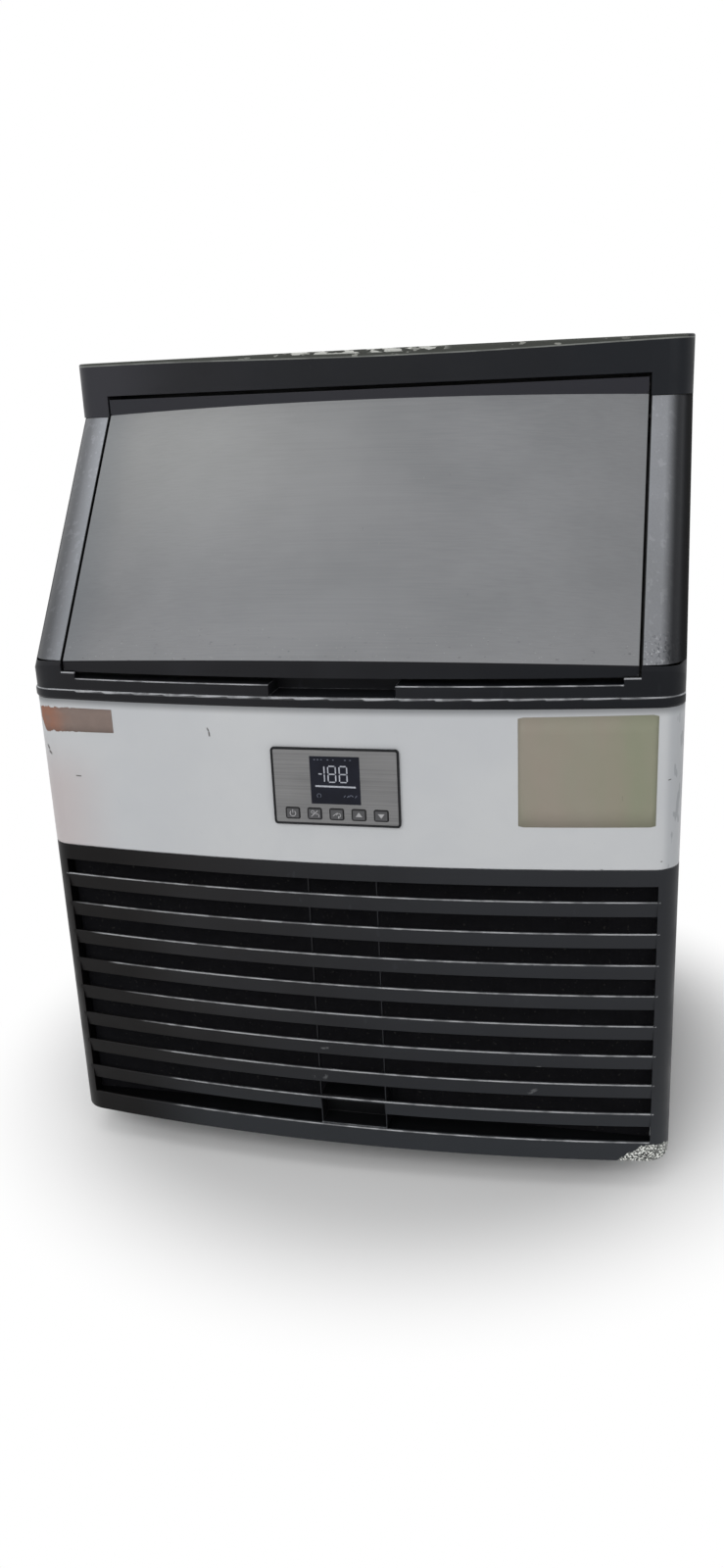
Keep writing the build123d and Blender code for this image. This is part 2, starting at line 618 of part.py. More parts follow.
def compressor_mounts():
    """Four rubber grommets under the compressor's plate."""
    x, y = COMPRESSOR
    top = 52.0
    grommets = []
    for dx in (-80, 80):
        for dy in (-48, 48):
            place = (x + dx, y + dy)
            grommet = rod((*place, PAN_Z + 1.5), (*place, top), 12.0)
            grommet += rod((*place, top), (*place, 60), 6.4)
            grommets.append(grommet.solid())
    return Compound(grommets)


def condenser():
    """Finned coil behind the grille: thin fins on eight tubes with return bends."""
    x0, x1, y0, y1, z0, z1 = -270.0, 10.0, -222.0, -186.0, 62.0, 332.0
    pitch = 7.0
    fin = 0.8
    rows = 8
    row_pitch = 32.0
    tube_r = 4.8
    tube_y = (y0 + y1) / 2
    low = (z0 + z1) / 2 - (rows - 1) * row_pitch / 2
    count = int((x1 - x0) / pitch) + 1
    fins = [block(x0 + i * pitch, x0 + i * pitch + fin, y0, y1, z0, z1) for i in range(count)]
    for x in (x0 - 2, x0 + (count - 1) * pitch):
        fins.append(block(x, x + 2, y0 - 1, y1 + 1, z0, z1))
    points = [(CONDENSER_END_X, tube_y, low)]
    for i in range(rows):
        near, far = (x1 + 16, x0 - 16) if i % 2 == 0 else (x0 - 16, x1 + 16)
        z = low + i * row_pitch
        if i:
            points.append((near, tube_y, z))
        if i < rows - 1:
            points.append((far, tube_y, z))
    points.append((CONDENSER_END_X, tube_y, low + (rows - 1) * row_pitch))
    serpentine = pipe(points, tube_r, row_pitch / 2 - 0.5)
    return serpentine + fins


def fan_shroud():
    """Plate with a round throat behind the condenser, and the three arms of the motor mount."""
    y0, y1 = -184.5, -130.0
    plate = block(-272, 12, y0, y0 + 2, 60, 334)
    throat = rod((FAN_X, y0, FAN_Z), (FAN_X, y1, FAN_Z), FAN_R + 7)
    bore = rod((FAN_X, y0 - 1, FAN_Z), (FAN_X, y1 + 1, FAN_Z), FAN_R + 4.5)
    shroud = plate + throat - bore
    for i in range(3):
        arm = block(24.0, FAN_R + 6, y1 - 3, y1, -5, 5)
        shroud += Pos(FAN_X, 0, FAN_Z) * Rot(0, 30 + 120 * i, 0) * arm
    ring = rod((FAN_X, y1 - 3, FAN_Z), (FAN_X, y1, FAN_Z), 30.0)
    return shroud + ring - rod((FAN_X, y1 - 4, FAN_Z), (FAN_X, y1 + 1, FAN_Z), 12.0)


def fan_motor():
    """Shaded-pole motor bolted to the back of the arms."""
    y = -130.0
    body = rod((FAN_X, y, FAN_Z), (FAN_X, y + 46, FAN_Z), 34.0)
    core = block(FAN_X - 38, FAN_X + 38, y + 12, y + 34, FAN_Z - 38, FAN_Z + 38)
    boss = rod((FAN_X, y - 2.6, FAN_Z), (FAN_X, y, FAN_Z), 11.0)
    bore = rod((FAN_X, y - 5, FAN_Z), (FAN_X, y + 20, FAN_Z), 3.0 + RUNNING)
    return body + core + boss - bore


def fan_blade():
    """Five pitched blades on a hub, with the motor's shaft."""
    y0, y1 = -168.0, -144.0
    fan = rod((FAN_X, y0, FAN_Z), (FAN_X, y1, FAN_Z), 26.0)
    fan += rod((FAN_X, y1, FAN_Z), (FAN_X, -112.0, FAN_Z), 3.0)
    for i in range(5):
        blade = Pos(60, (y0 + y1) / 2, 0) * Rot(28, 0, 0) * Box(78, 2.0, 42)
        fan += Pos(FAN_X, 0, FAN_Z) * Rot(0, 72 * i, 0) * blade
    rim = rod((FAN_X, y0 - 20, FAN_Z), (FAN_X, y1 + 40, FAN_Z), FAN_R)
    return fan & rim


def discharge_line():
    """Hot pipe from the compressor to the top of the condenser."""
    x, y = COMPRESSOR
    route = [(x - 80, y, 180), (72 - 20, y, 180), (72 - 20, y, CONDENSER_HIGH_Z),
             (72 - 20, CONDENSER_Y, CONDENSER_HIGH_Z), (CONDENSER_END_X, CONDENSER_Y, CONDENSER_HIGH_Z)]
    return pipe(route, 4.0, 7.5)


def liquid_line():
    """Pipe from the condenser through the filter drier and up the duct to the evaporator."""
    port_x, port_z = pipe_ports()[1]
    drier_y = (-80.0, 20.0)
    x, low = 62.0, CONDENSER_LOW_Z
    under_floor = 345.0
    before = [(CONDENSER_END_X, CONDENSER_Y, low), (x, CONDENSER_Y, low), (x, drier_y[0], low)]
    after = [(x, drier_y[1], low), (x, DUCT_Y - 20, low), (x, DUCT_Y - 20, under_floor),
             (LIQUID_X, DUCT_Y, under_floor), (LIQUID_X, DUCT_Y, port_z), (port_x + 4, DUCT_Y, port_z)]
    drier = rod((x, drier_y[0], low), (x, drier_y[1], low), 14.0)
    socket = rod((port_x, BIN_BACK_Y + 12, port_z), (port_x, DUCT_Y + 6, port_z), COIL_R + 1)
    return pipe(before, LIQUID_R, 8.0) + drier + pipe(after, LIQUID_R, 5.0) + socket


def suction_line():
    """Wide pipe from the bottom of the evaporator coil back to the compressor."""
    port_x, port_z = pipe_ports()[0]
    x, y = COMPRESSOR
    duct_x = port_x - 34
    under_floor = 330.0
    route = [(port_x - 4, DUCT_Y, port_z), (duct_x, DUCT_Y, port_z)]
    route += [(duct_x, DUCT_Y, under_floor), (0, DUCT_Y, under_floor)]
    route += [(30, y + 40, under_floor), (30, y + 40, 210.0), (x - 71.5, y + 40, 210.0)]
    socket = rod((port_x, BIN_BACK_Y + 12, port_z), (port_x, DUCT_Y + 6, port_z), COIL_R + 1)
    return pipe(route, 5.0, 14.0) + socket


def hot_gas_valve():
    """Solenoid valve with the harvest pipe, which leads hot gas from the compressor to the evaporator."""
    x, y = COMPRESSOR
    valve_x, valve_y = x - 58, 40.0
    tee_z = 755.0
    duct_x = -222.0
    body = block(valve_x - 12, valve_x + 12, valve_y - 12, valve_y + 12, 262, 290)
    coil = rod((valve_x, valve_y, 290), (valve_x, valve_y, 330), 17.0)
    rise = [(valve_x, y - 57.2, 200), (valve_x, valve_y, 200), (valve_x, valve_y, 262)]
    outlet = [(valve_x - 11, valve_y, 276), (0, valve_y, 276), (0, valve_y, 350)]
    outlet += [(duct_x, DUCT_Y, 350), (duct_x, DUCT_Y, tee_z), (LIQUID_X - 2.5, DUCT_Y, tee_z)]
    return body + coil + pipe(rise, LIQUID_R, 9.0) + pipe(outlet, LIQUID_R, 9.0)


# ---------------------------------------------------------------- water and power inlets
def water_inlet_valve():
    """Solenoid valve behind the back panel; its threaded end stands out at the back."""
    x, z = INLET
    thread_r, bore_r, body_y = 13.2, 8.0, 226.0
    valve = rod((x, body_y, z), (x, BACK_Y, z), 14.0)
    valve += rod((x, BACK_Y, z), (x, BACK_Y + 3, z), 18.0)
    valve += rod((x, BACK_Y, z), (x, BOX_HALF_DEPTH, z), thread_r)
    valve += block(x - 18, x + 18, body_y - 17, body_y + 17, z - 18, z + 18)
    valve += rod((x, body_y, z), (x, body_y, z + 46), 15.0)
    valve += rod((x - 28, body_y, z), (x, body_y, z), 6.0)
    return valve - rod((x, BACK_Y - 10, z), (x, BOX_HALF_DEPTH + 1, z), bore_r)


def inlet_hose():
    """Thin water hose from the valve up the duct and through the bin's back wall to the sump."""
    x, z = INLET
    port_x, port_z = HOSE_PORT
    sump_x, sump_y = port_x + 34, 155.0
    route = [(x - 28, 226, z), (x - 40, 226, z), (x - 40, DUCT_Y, z + 50), (x - 40, DUCT_Y, 380.0)]
    route += [(port_x, DUCT_Y, 430.0), (port_x, DUCT_Y, port_z), (port_x, sump_y, port_z)]
    route += [(sump_x, sump_y, port_z), (sump_x, sump_y, port_z - 22)]
    return pipe(route, 4.5, 7.0)


def cable_gland():
    """Round gland in the back panel, where the supply cord enters."""
    x, z = GLAND
    gland = rod((x, BACK_Y, z), (x, BACK_Y + 4, z), 13.0) + rod((x, BACK_Y - 8, z), (x, BACK_Y, z), 8.8)
    gland += rod((x, BACK_Y + 4, z), (x, BACK_Y + 16, z), 9.5)
    return gland - rod((x, BACK_Y - 9, z), (x, BACK_Y + 17, z), 4.5)


def control_box():
    """Lidded box of the electrical gear, beside the condenser."""
    x0, x1, y0, y1, z0, z1 = 100.0, 290.0, -215.0, -150.0, 70.0, 320.0
    wall = 2.0
    box = block(x0, x1, y0, y1, z0, z1)
    box -= block(x0 + wall, x1 - wall, y0 + wall, y1 - wall, z0 + wall, z1 - wall)
    lid = block(x0 - 2, x1 + 2, y0 - 2, y0, z0 - 2, z1 + 2)
    flange = block(x0 + 10, x1 - 10, y1 - 12, y1, PAN_Z + 1.5, z0)
    return box + lid + flange


# ---------------------------------------------------------------- display
def display_bezel():
    """Slim dark rim of the display with its housing behind the panel."""
    front = -BOX_HALF_DEPTH
    seat = FASCIA_Y + FASCIA_SHEET
    outline = RectangleRounded(*BEZEL, 3.6)
    inside = RectangleRounded(FASCIA[0] + 0.4, FASCIA[1] + 0.4, 1.8)
    rim = extrude(Plane.XZ.offset(-front) * Pos(0, DISPLAY_Z) * (outline - inside), amount=front - seat)
    edges = [e for e in rim.edges() if abs(e.center().Y - front) < 0.01]
    rim = fillet(edges, radius=0.7)
    ledge = outline - Rectangle(117, 70)
    ledge = extrude(Plane.XZ.offset(-seat) * Pos(0, DISPLAY_Z) * ledge, amount=-0.6)
    sleeve = Rectangle(121.6, 73.6) - Rectangle(117, 70)
    sleeve = extrude(Plane.XZ.offset(-seat) * Pos(0, DISPLAY_Z) * sleeve, amount=-18.0)
    return rim + ledge + sleeve


def key_x(index):
    """Place of a key across the display."""
    return (index - 2) * KEY_PITCH


def display_fascia():
    """Brushed plate with the screen's window and five key holes."""
    window = Pos(0, LENS[2] - DISPLAY_Z) * Rectangle(LENS[0] + 0.3, LENS[1] + 0.3)
    face = RectangleRounded(*FASCIA, 1.6) - window
    for i in range(5):
        hole = RectangleRounded(KEY[0] + 2 * GAP, KEY[1] + 2 * GAP, 2.3)
        face -= Pos(key_x(i), KEY_Z - DISPLAY_Z) * hole
    return extrude(Plane.XZ.offset(-FASCIA_Y) * Pos(0, DISPLAY_Z) * face, amount=-FASCIA_SHEET)


def display_lens():
    """Clear window of the screen."""
    face = Rectangle(LENS[0], LENS[1])
    return extrude(Plane.XZ.offset(-FASCIA_Y + 0.1) * Pos(0, LENS[2]) * face, amount=-2.2)


def display_board():
    """Circuit board with the screen module and a switch behind each key."""
    board_y = -271.0
    board = block(-56, 56, board_y, board_y + 1.6, DISPLAY_Z - 32, DISPLAY_Z + 32)
    board += block(-24, 24, -279.0, board_y, LENS[2] - 22, LENS[2] + 22)
    for i in range(5):
        x = key_x(i)
        board += block(x - 3, x + 3, board_y - 4, board_y, KEY_Z - 3, KEY_Z + 3)
        board += rod((x, -278.2, KEY_Z), (x, board_y - 4, KEY_Z), 1.6)
    return board


def key_cap(index):
    """Key with rounded edges and a flange that keeps it behind the plate."""
    front = -BOX_HALF_DEPTH + 0.1
    cap = extrude(Plane.XZ.offset(-front) * RectangleRounded(*KEY, 2.0), amount=-3.2)
    rims = [e for e in cap.edges() if abs(e.center().Y - front) < 0.01]
    cap = fillet(rims, radius=0.5)
    flange_y = FASCIA_Y + FASCIA_SHEET + 0.1
    flange = RectangleRounded(KEY[0] + 2.4, KEY[1] + 1.2, 1.4)
    cap += extrude(Plane.XZ.offset(-flange_y) * flange, amount=-0.8)
    return Pos(key_x(index), 0, KEY_Z) * cap


# ---------------------------------------------------------------- grille
def front_grille():
    """Bowed black grille: rim, eight louvres, two ribs and the finger grip at its foot."""
    wall = 3.0
    z0, z1 = FOOT_GAP, GRILLE_TOP
    shell = front_block(0, z0, z1) - front_block(wall, z0 - 1, z1 + 1)
    shell &= block(-HALF - 1, HALF + 1, -300, WRAP_Y, z0, z1)
    rounding = extrude(Plane.XZ * Pos(0, z0 + 250) * RectangleRounded(WIDTH, 500, 8.0), amount=300)
    shell &= rounding
    shell -= block(-WINDOW_HALF, WINDOW_HALF, -300, -200, *WINDOW_Z)

    lean = 2.5
    thick = 2.4
    for i in range(8):
        top = LOUVRE_FIRST + i * LOUVRE_PITCH
        low = top - LOUVRE_FACE
        outline = [(0.3, top - 1.2), (1.2, top), (thick + 0.6, top)]
        outline += [(thick + lean + 0.3, low), (lean, low)]
        shell += swept_on_bow(outline, WINDOW_HALF + 3)

    foot = WINDOW_Z[0]
    bevel = [(-0.1, foot - 1.2), (-0.1, foot + 0.1), (1.2, foot + 0.1)]
    shell -= swept_on_bow(bevel, WINDOW_HALF)

    bow_y = FRONT_Y - BOW
    grip_z = (WINDOW_Z[0] + 1.0, LOUVRE_FIRST - 2.7)
    cup_z = (grip_z[0] - 2.5, grip_z[1] + 2.5)
    window_z = (WINDOW_Z[0] - 4, WINDOW_Z[1] + 4)
    for side in (-1, 1):
        x = side * (GRIP_HALF + 0.6)
        shell += block(x - 0.6, x + 0.6, bow_y + 4.0, bow_y + 8, *window_z)
        shell += block(x - 0.6, x + 0.6, bow_y + 4.0, bow_y + 28, *cup_z)
        edge = side * (WINDOW_HALF + 1.5)
        shell += block(edge - 1.5, edge + 1.5, FRONT_Y - 1, WRAP_Y - 8, *window_z)
    tray = front_block(wall / 2, WINDOW_Z[0] - 5.5, WINDOW_Z[0] - 3.0)
    shell += tray & block(-WINDOW_HALF - 2, WINDOW_HALF + 2, -300, -240.0, z0, z1)
    cup_half = GRIP_HALF + 1.0
    shell -= block(-GRIP_HALF, GRIP_HALF, -300, bow_y + 26, *grip_z)
    shell += block(-cup_half, cup_half, bow_y + 2.6, bow_y + 30, cup_z[0], grip_z[0])
    shell += block(-cup_half, cup_half, bow_y + 26, bow_y + 28, *cup_z)
    shell += block(-cup_half, cup_half, bow_y + 5, bow_y + 28, grip_z[1], cup_z[1])
    return shell


def dust_filter():
    """Sheet of fine mesh on a ribbed frame, clipped behind the grille."""
    wide, low, high = 620.8, WINDOW_Z[0] - 2.7, WINDOW_Z[1] + 1.0
    tall = high - low
    plane = Plane(origin=(0, -238.0, (low + high) / 2), x_dir=(1, 0, 0), z_dir=(0, -1, 0))
    frame = plate_with_windows(wide, tall, 6, 1, 8.0, 5.0)
    mesh = plane.offset(2.8) * Rectangle(wide, tall)
    return extrude(plane * frame, amount=3.0) + extrude(mesh, amount=1.2)


# ---------------------------------------------------------------- door
def door_skin():
    """Brushed steel sheet of the door, bowed, with its side edges folded in."""
    reach = block(-DOOR_HALF, DOOR_HALF, -400, 100, DOOR_BOTTOM, 830)
    outer = slope_block(0) & reach & front_block(0, 540, 830, 3.0)
    core = slope_block(SKIN) & block(-DOOR_HALF + SKIN, DOOR_HALF - SKIN, -400, 100, 500, 900)
    skin = outer - core
    skin -= slope_box(-HALF, HALF, -60, 400, DOOR_DEPTH, 500)
    skin -= front_block(0, 700, 830, SETBACK)
    skin -= slope_box(-HALF, HALF, -60, 12.0, 6.5, 500)
    skin -= rod((-HALF, HINGE_Y, HINGE_Z), (HALF, HINGE_Y, HINGE_Z), PIN_R + 0.5)
    return skin - block(-HALF, HALF, -400, 0, 500, 553.5)


def door_top_rail():
    """Black rail flush with the header, with a cheek at each end for the hinge pin."""
    wall = 3.0
    z0 = 757.0
    web = front_block(0, z0, DOOR_TOP, SETBACK) - front_block(wall, z0 - 1, DOOR_TOP + 1, SETBACK)
    lip = front_block(0, DOOR_TOP - 3, DOOR_TOP, SETBACK)
    web += lip & block(-DOOR_HALF, DOOR_HALF, -400, -84, 0, HEIGHT)
    cheek_x = DOOR_HALF - SKIN - 9.0
    cheeks = Part()
    for side in (-1, 1):
        x0, x1 = sorted((side * cheek_x, side * (DOOR_HALF - SKIN)))
        arm = front_block(0, HINGE_Z, DOOR_TOP, SETBACK) & block(x0, x1, -300, -64, HINGE_Z, DOOR_TOP)
        cheeks += arm + rod((x0, HINGE_Y, HINGE_Z), (x1, HINGE_Y, HINGE_Z), 11.0)
    rail = (web + cheeks) & block(-DOOR_HALF + SKIN, DOOR_HALF - SKIN, -300, -60, 700, DOOR_TOP)
    ends = front_block(0, HEADER_BOTTOM + 3, DOOR_TOP, SETBACK)
    ends &= block(-DOOR_HALF, DOOR_HALF, -300, -70, 0, HEIGHT)
    rail += ends - block(-cheek_x, cheek_x, -300, 0, 0, HEIGHT)
    rail -= slope_box(-HALF, HALF, 60, 262, 14.0, 60)
    inside = slope_block(SKIN) + front_block(0, 700, HEIGHT, SETBACK)
    rail &= inside
    for side in (-1, 1):
        pin_from, pin_to = side * (cheek_x - 1), side * (DOOR_HALF + 1)
        rail -= rod((pin_from, HINGE_Y, HINGE_Z), (pin_to, HINGE_Y, HINGE_Z), PIN_R)
    return rail


def door_handle_rail():
    """Black rail along the door's foot, hollowed from below as a finger grip."""
    rail = front_block(0, DOOR_BOTTOM, 600, 3.0)
    rail &= block(-DOOR_HALF, DOOR_HALF, -300, -238, DOOR_BOTTOM, 600)
    rail &= slope_block(SKIN)
    rail -= slope_box(-HALF, HALF, 10.0, 300, -60, 100)
    rail -= slope_box(-HALF, HALF, -100, 300, DOOR_DEPTH, 100)
    grip = front_block(4.0, DOOR_BOTTOM - 1, DOOR_BOTTOM + 6.5, 3.0)
    rail -= grip & block(-268, 268, -300, -243, 0, HEIGHT)
    for side in (-1, 1):
        x0, x1 = sorted((side * 273.5, side * (DOOR_HALF + 1)))
        rail -= block(x0, x1, -300, -200, DOOR_BOTTOM - 1, STEP_TOP + 1.0)
    return rail - door_skin()


def door_foam():
    """Foam core between the bowed skin and the flat liner."""
    half = DOOR_HALF - 1.3
    foam = slope_block(SKIN + 0.1) & slope_box(-half, half, 12.5, 248, -60, DOOR_DEPTH - 0.1)
    plug = slope_box(-237.5, 237.5, 42.5, 237.5, DOOR_DEPTH - 1, DOOR_DEPTH + 11.5)
    return foam + plug


def door_liner():
    """Inner face of the door, with a raised pan that enters the bin's mouth."""
    plate = slope_box(-283, 283, 8, 268, DOOR_DEPTH, DOOR_DEPTH + 2)
    pan = slope_box(-240, 240, 40, 240, DOOR_DEPTH, DOOR_DEPTH + 14)
    hollow = slope_box(-238, 238, 42, 238, DOOR_DEPTH - 1, DOOR_DEPTH + 12)
    return plate + pan - hollow


def door_gasket():
    """Soft seal round the liner, facing the bin's sealing face."""
    depth = (DOOR_DEPTH + 2, SEAL_DEPTH - GAP)
    ring = slope_box(-274, 274, 12, 266, *depth)
    return ring - slope_box(-258, 258, 24, 254, depth[0] - 1, depth[1] + 1)


def door_hinge_pins():
    """Two steel pins, fixed in the door's cheeks and free in the pillars."""
    inner = DOOR_HALF - SKIN - 8.0
    pin = rod((inner, HINGE_Y, HINGE_Z), (NOTCH_HALF + 3.0, HINGE_Y, HINGE_Z), PIN_R)
    return both_sides(pin)


# ---------------------------------------------------------------- feet
def levelling_foot(x, y):
    """Screw foot: rubber-edged pad, hexagon for the spanner, and stud."""
    pad = rod((x, y, 0), (x, y, 10), 22.0)
    pad = fillet(pad.edges().filter_by(GeomType.CIRCLE).sort_by(Axis.Z)[-1:], radius=4.0)
    nut = extrude(Plane(origin=(x, y, 10)) * RegularPolygon(11.0, 6), amount=12)
    return pad + nut + rod((x, y, 22), (x, y, 66), 6.0)


# ---------------------------------------------------------------- build
def left_side_panel():
    """Left-hand side sheet."""
    return mirror(right_side_panel(), about=Plane.YZ)


PARTS = [
    base_pan, right_side_panel, left_side_panel, back_panel, back_screws, top_panel, front_panel,
    header_fascia, sill_fascia, pillar_trims, bin_liner, bin_throat, bin_insulation, drain_line,
    evaporator_grid, evaporator_coil, evaporator_frame, water_distributor, water_sump, sump_float,
    pump_body, pump_impeller, pump_hose, ice_curtain, compressor, compressor_mounts, condenser,
    fan_shroud, fan_motor, fan_blade, discharge_line, liquid_line, suction_line, hot_gas_valve,
    water_inlet_valve, inlet_hose, cable_gland, control_box, display_bezel, display_fascia,
    display_lens, display_board, front_grille, dust_filter, door_skin, door_top_rail,
    door_handle_rail, door_foam, door_liner, door_gasket, door_hinge_pins,
]


def write(name, shape):
    """Save one sub-part and say what it holds."""
    export_step(shape, f"parts/{name}.step")
    print(f"{name}: {len(shape.solids())} solid(s), {shape.volume / 1000:.1f} cm3")


os.makedirs("parts", exist_ok=True)
for make in PARTS:
    write(make.__name__, make())
for index, key_name in enumerate(KEY_NAMES):
    write(key_name, key_cap(index))
for foot_name, place in FEET.items():
    write(foot_name, levelling_foot(*place))
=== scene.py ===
"""Studio scene for the ice maker: camera, light, finishes and small surface details on the CAD frame."""
import math
import random

import bpy
from mathutils import Matrix, Vector
from mathutils.bvhtree import BVHTree


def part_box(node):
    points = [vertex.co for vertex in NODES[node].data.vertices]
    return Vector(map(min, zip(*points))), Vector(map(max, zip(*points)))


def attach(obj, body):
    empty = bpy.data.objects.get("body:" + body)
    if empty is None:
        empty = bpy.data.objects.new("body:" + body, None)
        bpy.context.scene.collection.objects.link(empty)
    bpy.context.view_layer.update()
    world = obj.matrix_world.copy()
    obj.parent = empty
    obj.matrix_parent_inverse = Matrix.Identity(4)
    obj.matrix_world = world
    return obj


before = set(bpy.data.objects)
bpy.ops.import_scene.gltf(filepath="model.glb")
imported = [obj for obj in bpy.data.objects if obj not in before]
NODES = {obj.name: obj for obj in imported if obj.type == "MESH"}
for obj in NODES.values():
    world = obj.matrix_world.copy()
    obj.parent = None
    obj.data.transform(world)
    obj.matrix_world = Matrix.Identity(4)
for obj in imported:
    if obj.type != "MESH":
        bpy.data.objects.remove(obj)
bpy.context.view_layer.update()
MM = 0.001
BOW = 0.225          # the front falls back by this times the square of the distance from its middle
EDGE_WIDTH = 0.0011  # radius over which a moulding's edges are rubbed, or carry a painted highlight
# Pale colour of the painted highlights on moulding edges
PAINTED_HIGHLIGHT = "b4b6ba"

# Camera, in metres and degrees
CAMERA_AT = (0.3023, -1.3900, 0.8247)
CAMERA_YAW = -13.95
CAMERA_PITCH = 18.28
CAMERA_ROLL = -2.65
CAMERA_LENS = 28.36

# Surroundings: strength of the white as light, the floor's radius, and where it turns white
WORLD_LIGHT = 0.42
FLOOR_REACH = 14.0
FLOOR_FADE = (0.33, 0.56)

# Lamps: name, place, the point it faces, size in metres, power in watts
LAMPS = [("key", (-0.9, -3.0, 2.3), (0.0, 0.0, 0.45), 2.2, 40.0),
         ("fill", (1.9, -2.2, 1.4), (0.0, 0.0, 0.45), 1.8, 12.0),
         ("top", (-0.6, -0.3, 3.0), (0.0, 0.0, 0.8), 2.2, 13.0)]

# Stickers on the front panel: left, right, and lowest and highest z above the panel's foot
LABEL_RIGHT = (0.1777, 0.3065, 0.0437, 0.1530)
TAG_LEFT = (-0.3225, -0.2355, 0.1255, 0.1518)

# Scratches on the white panel: x, z, length, width, angle in degrees
WHITE_SCRATCHES = [(-0.1296, 0.4975, 0.006, 0.0020, 112.0), (-0.1286, 0.4930, 0.007, 0.0022, 95.0),
                   (-0.283, 0.440, 0.008, 0.0017, 0.0), (-0.3168, 0.4690, 0.008, 0.0034, 112.0),
                   (-0.3148, 0.4635, 0.008, 0.0034, 130.0), (0.318, 0.452, 0.004, 0.0014, 10.0),
                   (0.313, 0.370, 0.003, 0.0016, 0.0), (0.257, 0.362, 0.003, 0.0012, 0.0)]

# Scuffs on the louvres: x, z, length, width, angle in degrees
LOUVRE_SCUFFS = [(-0.028, 0.1488, 0.013, 0.0030, 10.0), (-0.029, 0.1138, 0.010, 0.0050, 60.0),
                 (-0.042, 0.1130, 0.006, 0.0040, 120.0), (0.1965, 0.142, 0.008, 0.0014, 0.0),
                 (0.191, 0.1129, 0.014, 0.0050, 35.0), (0.3095, 0.132, 0.006, 0.0030, 140.0)]


def linear(code):
    """A hex colour as linear red, green, blue and alpha."""
    parts = [int(code[i:i + 2], 16) / 255 for i in (0, 2, 4)]
    return [p / 12.92 if p <= 0.04045 else ((p + 0.055) / 1.055) ** 2.4 for p in parts] + [1.0]


# ---------------------------------------------------------------- camera, light and floor
def make_camera():
    """Camera in front, a little to the right of the middle, looking down."""
    yaw, pitch, roll = (math.radians(a) for a in (CAMERA_YAW, CAMERA_PITCH, CAMERA_ROLL))
    ahead = Vector((math.sin(yaw) * math.cos(pitch), math.cos(yaw) * math.cos(pitch), -math.sin(pitch)))
    right = Vector((math.cos(yaw), -math.sin(yaw), 0.0))
    up = right.cross(ahead)
    tilted = right * math.cos(roll) + up * math.sin(roll)
    upright = up * math.cos(roll) - right * math.sin(roll)
    turn = Matrix((tilted, upright, -ahead)).transposed().to_4x4()
    data = bpy.data.cameras.new("camera")
    data.lens = CAMERA_LENS
    camera = bpy.data.objects.new("camera", data)
    camera.matrix_world = Matrix.Translation(CAMERA_AT) @ turn
    bpy.context.scene.collection.objects.link(camera)
    bpy.context.scene.camera = camera


def area_lamp(name, place, target, size, power):
    """Soft square lamp that faces a point."""
    data = bpy.data.lights.new(name, "AREA")
    data.shape = "SQUARE"
    data.size = size
    data.energy = power
    lamp = bpy.data.objects.new(name, data)
    lamp.location = place
    lamp.rotation_euler = (Vector(target) - Vector(place)).to_track_quat("-Z", "Y").to_euler()
    bpy.context.scene.collection.objects.link(lamp)


def seen_mask(nodes, links):
    """A socket that is 1 for camera, glossy and transmission rays."""
    path = nodes.new("ShaderNodeLightPath")
    total = path.outputs["Is Camera Ray"]
    for kind in ("Is Glossy Ray", "Is Transmission Ray"):
        larger = nodes.new("ShaderNodeMath")
        larger.operation = "MAXIMUM"
        links.new(total, larger.inputs[0])
        links.new(path.outputs[kind], larger.inputs[1])
        total = larger.outputs[0]
    return total


def make_world(strength):
    """White surroundings: full white where they are seen, and of the given strength as light."""
    world = bpy.data.worlds.new("studio")
    world.use_nodes = True
    nodes, links = world.node_tree.nodes, world.node_tree.links
    background = nodes["Background"]
    background.inputs["Color"].default_value = (1.0, 1.0, 1.0, 1.0)
    level = nodes.new("ShaderNodeMapRange")
    level.inputs["To Min"].default_value = strength
    level.inputs["To Max"].default_value = 1.0
    links.new(seen_mask(nodes, links), level.inputs["Value"])
    links.new(level.outputs[0], background.inputs["Strength"])
    bpy.context.scene.world = world


def make_floor(reach):
    """Round pale floor under the object."""
    steps = 24
    points = [(0.0, 0.0, 0.0)]
    points += [(reach * math.cos(i * math.tau / steps), reach * math.sin(i * math.tau / steps), 0.0)
               for i in range(steps)]
    faces = [(0, i + 1, (i + 1) % steps + 1) for i in range(steps)]
    mesh = bpy.data.meshes.new("floor")
    mesh.from_pydata(points, [], faces)
    mesh.materials.append(floor_material())
    floor = bpy.data.objects.new("floor", mesh)
    bpy.context.scene.collection.objects.link(floor)


def floor_material():
    """Pale paint that keeps the shadow near the object and fades to white further out."""
    material = bpy.data.materials.new("floor")
    material.use_nodes = True
    nodes, links = material.node_tree.nodes, material.node_tree.links
    paint = nodes["Principled BSDF"]
    paint.inputs["Base Color"].default_value = linear("f4f4f4")
    paint.inputs["Roughness"].default_value = 0.9
    white = nodes.new("ShaderNodeEmission")
    length = nodes.new("ShaderNodeVectorMath")
    length.operation = "LENGTH"
    links.new(nodes.new("ShaderNodeTexCoord").outputs["Object"], length.inputs[0])
    far = nodes.new("ShaderNodeMapRange")
    far.interpolation_type = "SMOOTHSTEP"
    far.inputs["From Min"].default_value, far.inputs["From Max"].default_value = FLOOR_FADE
    links.new(length.outputs["Value"], far.inputs["Value"])
    both = nodes.new("ShaderNodeMath")
    both.operation = "MULTIPLY"
    links.new(far.outputs[0], both.inputs[0])
    links.new(seen_mask(nodes, links), both.inputs[1])
    blend = nodes.new("ShaderNodeMixShader")
    links.new(both.outputs[0], blend.inputs[0])
    links.new(paint.outputs[0], blend.inputs[1])
    links.new(white.outputs[0], blend.inputs[2])
    links.new(blend.outputs[0], nodes["Material Output"].inputs["Surface"])
    return material


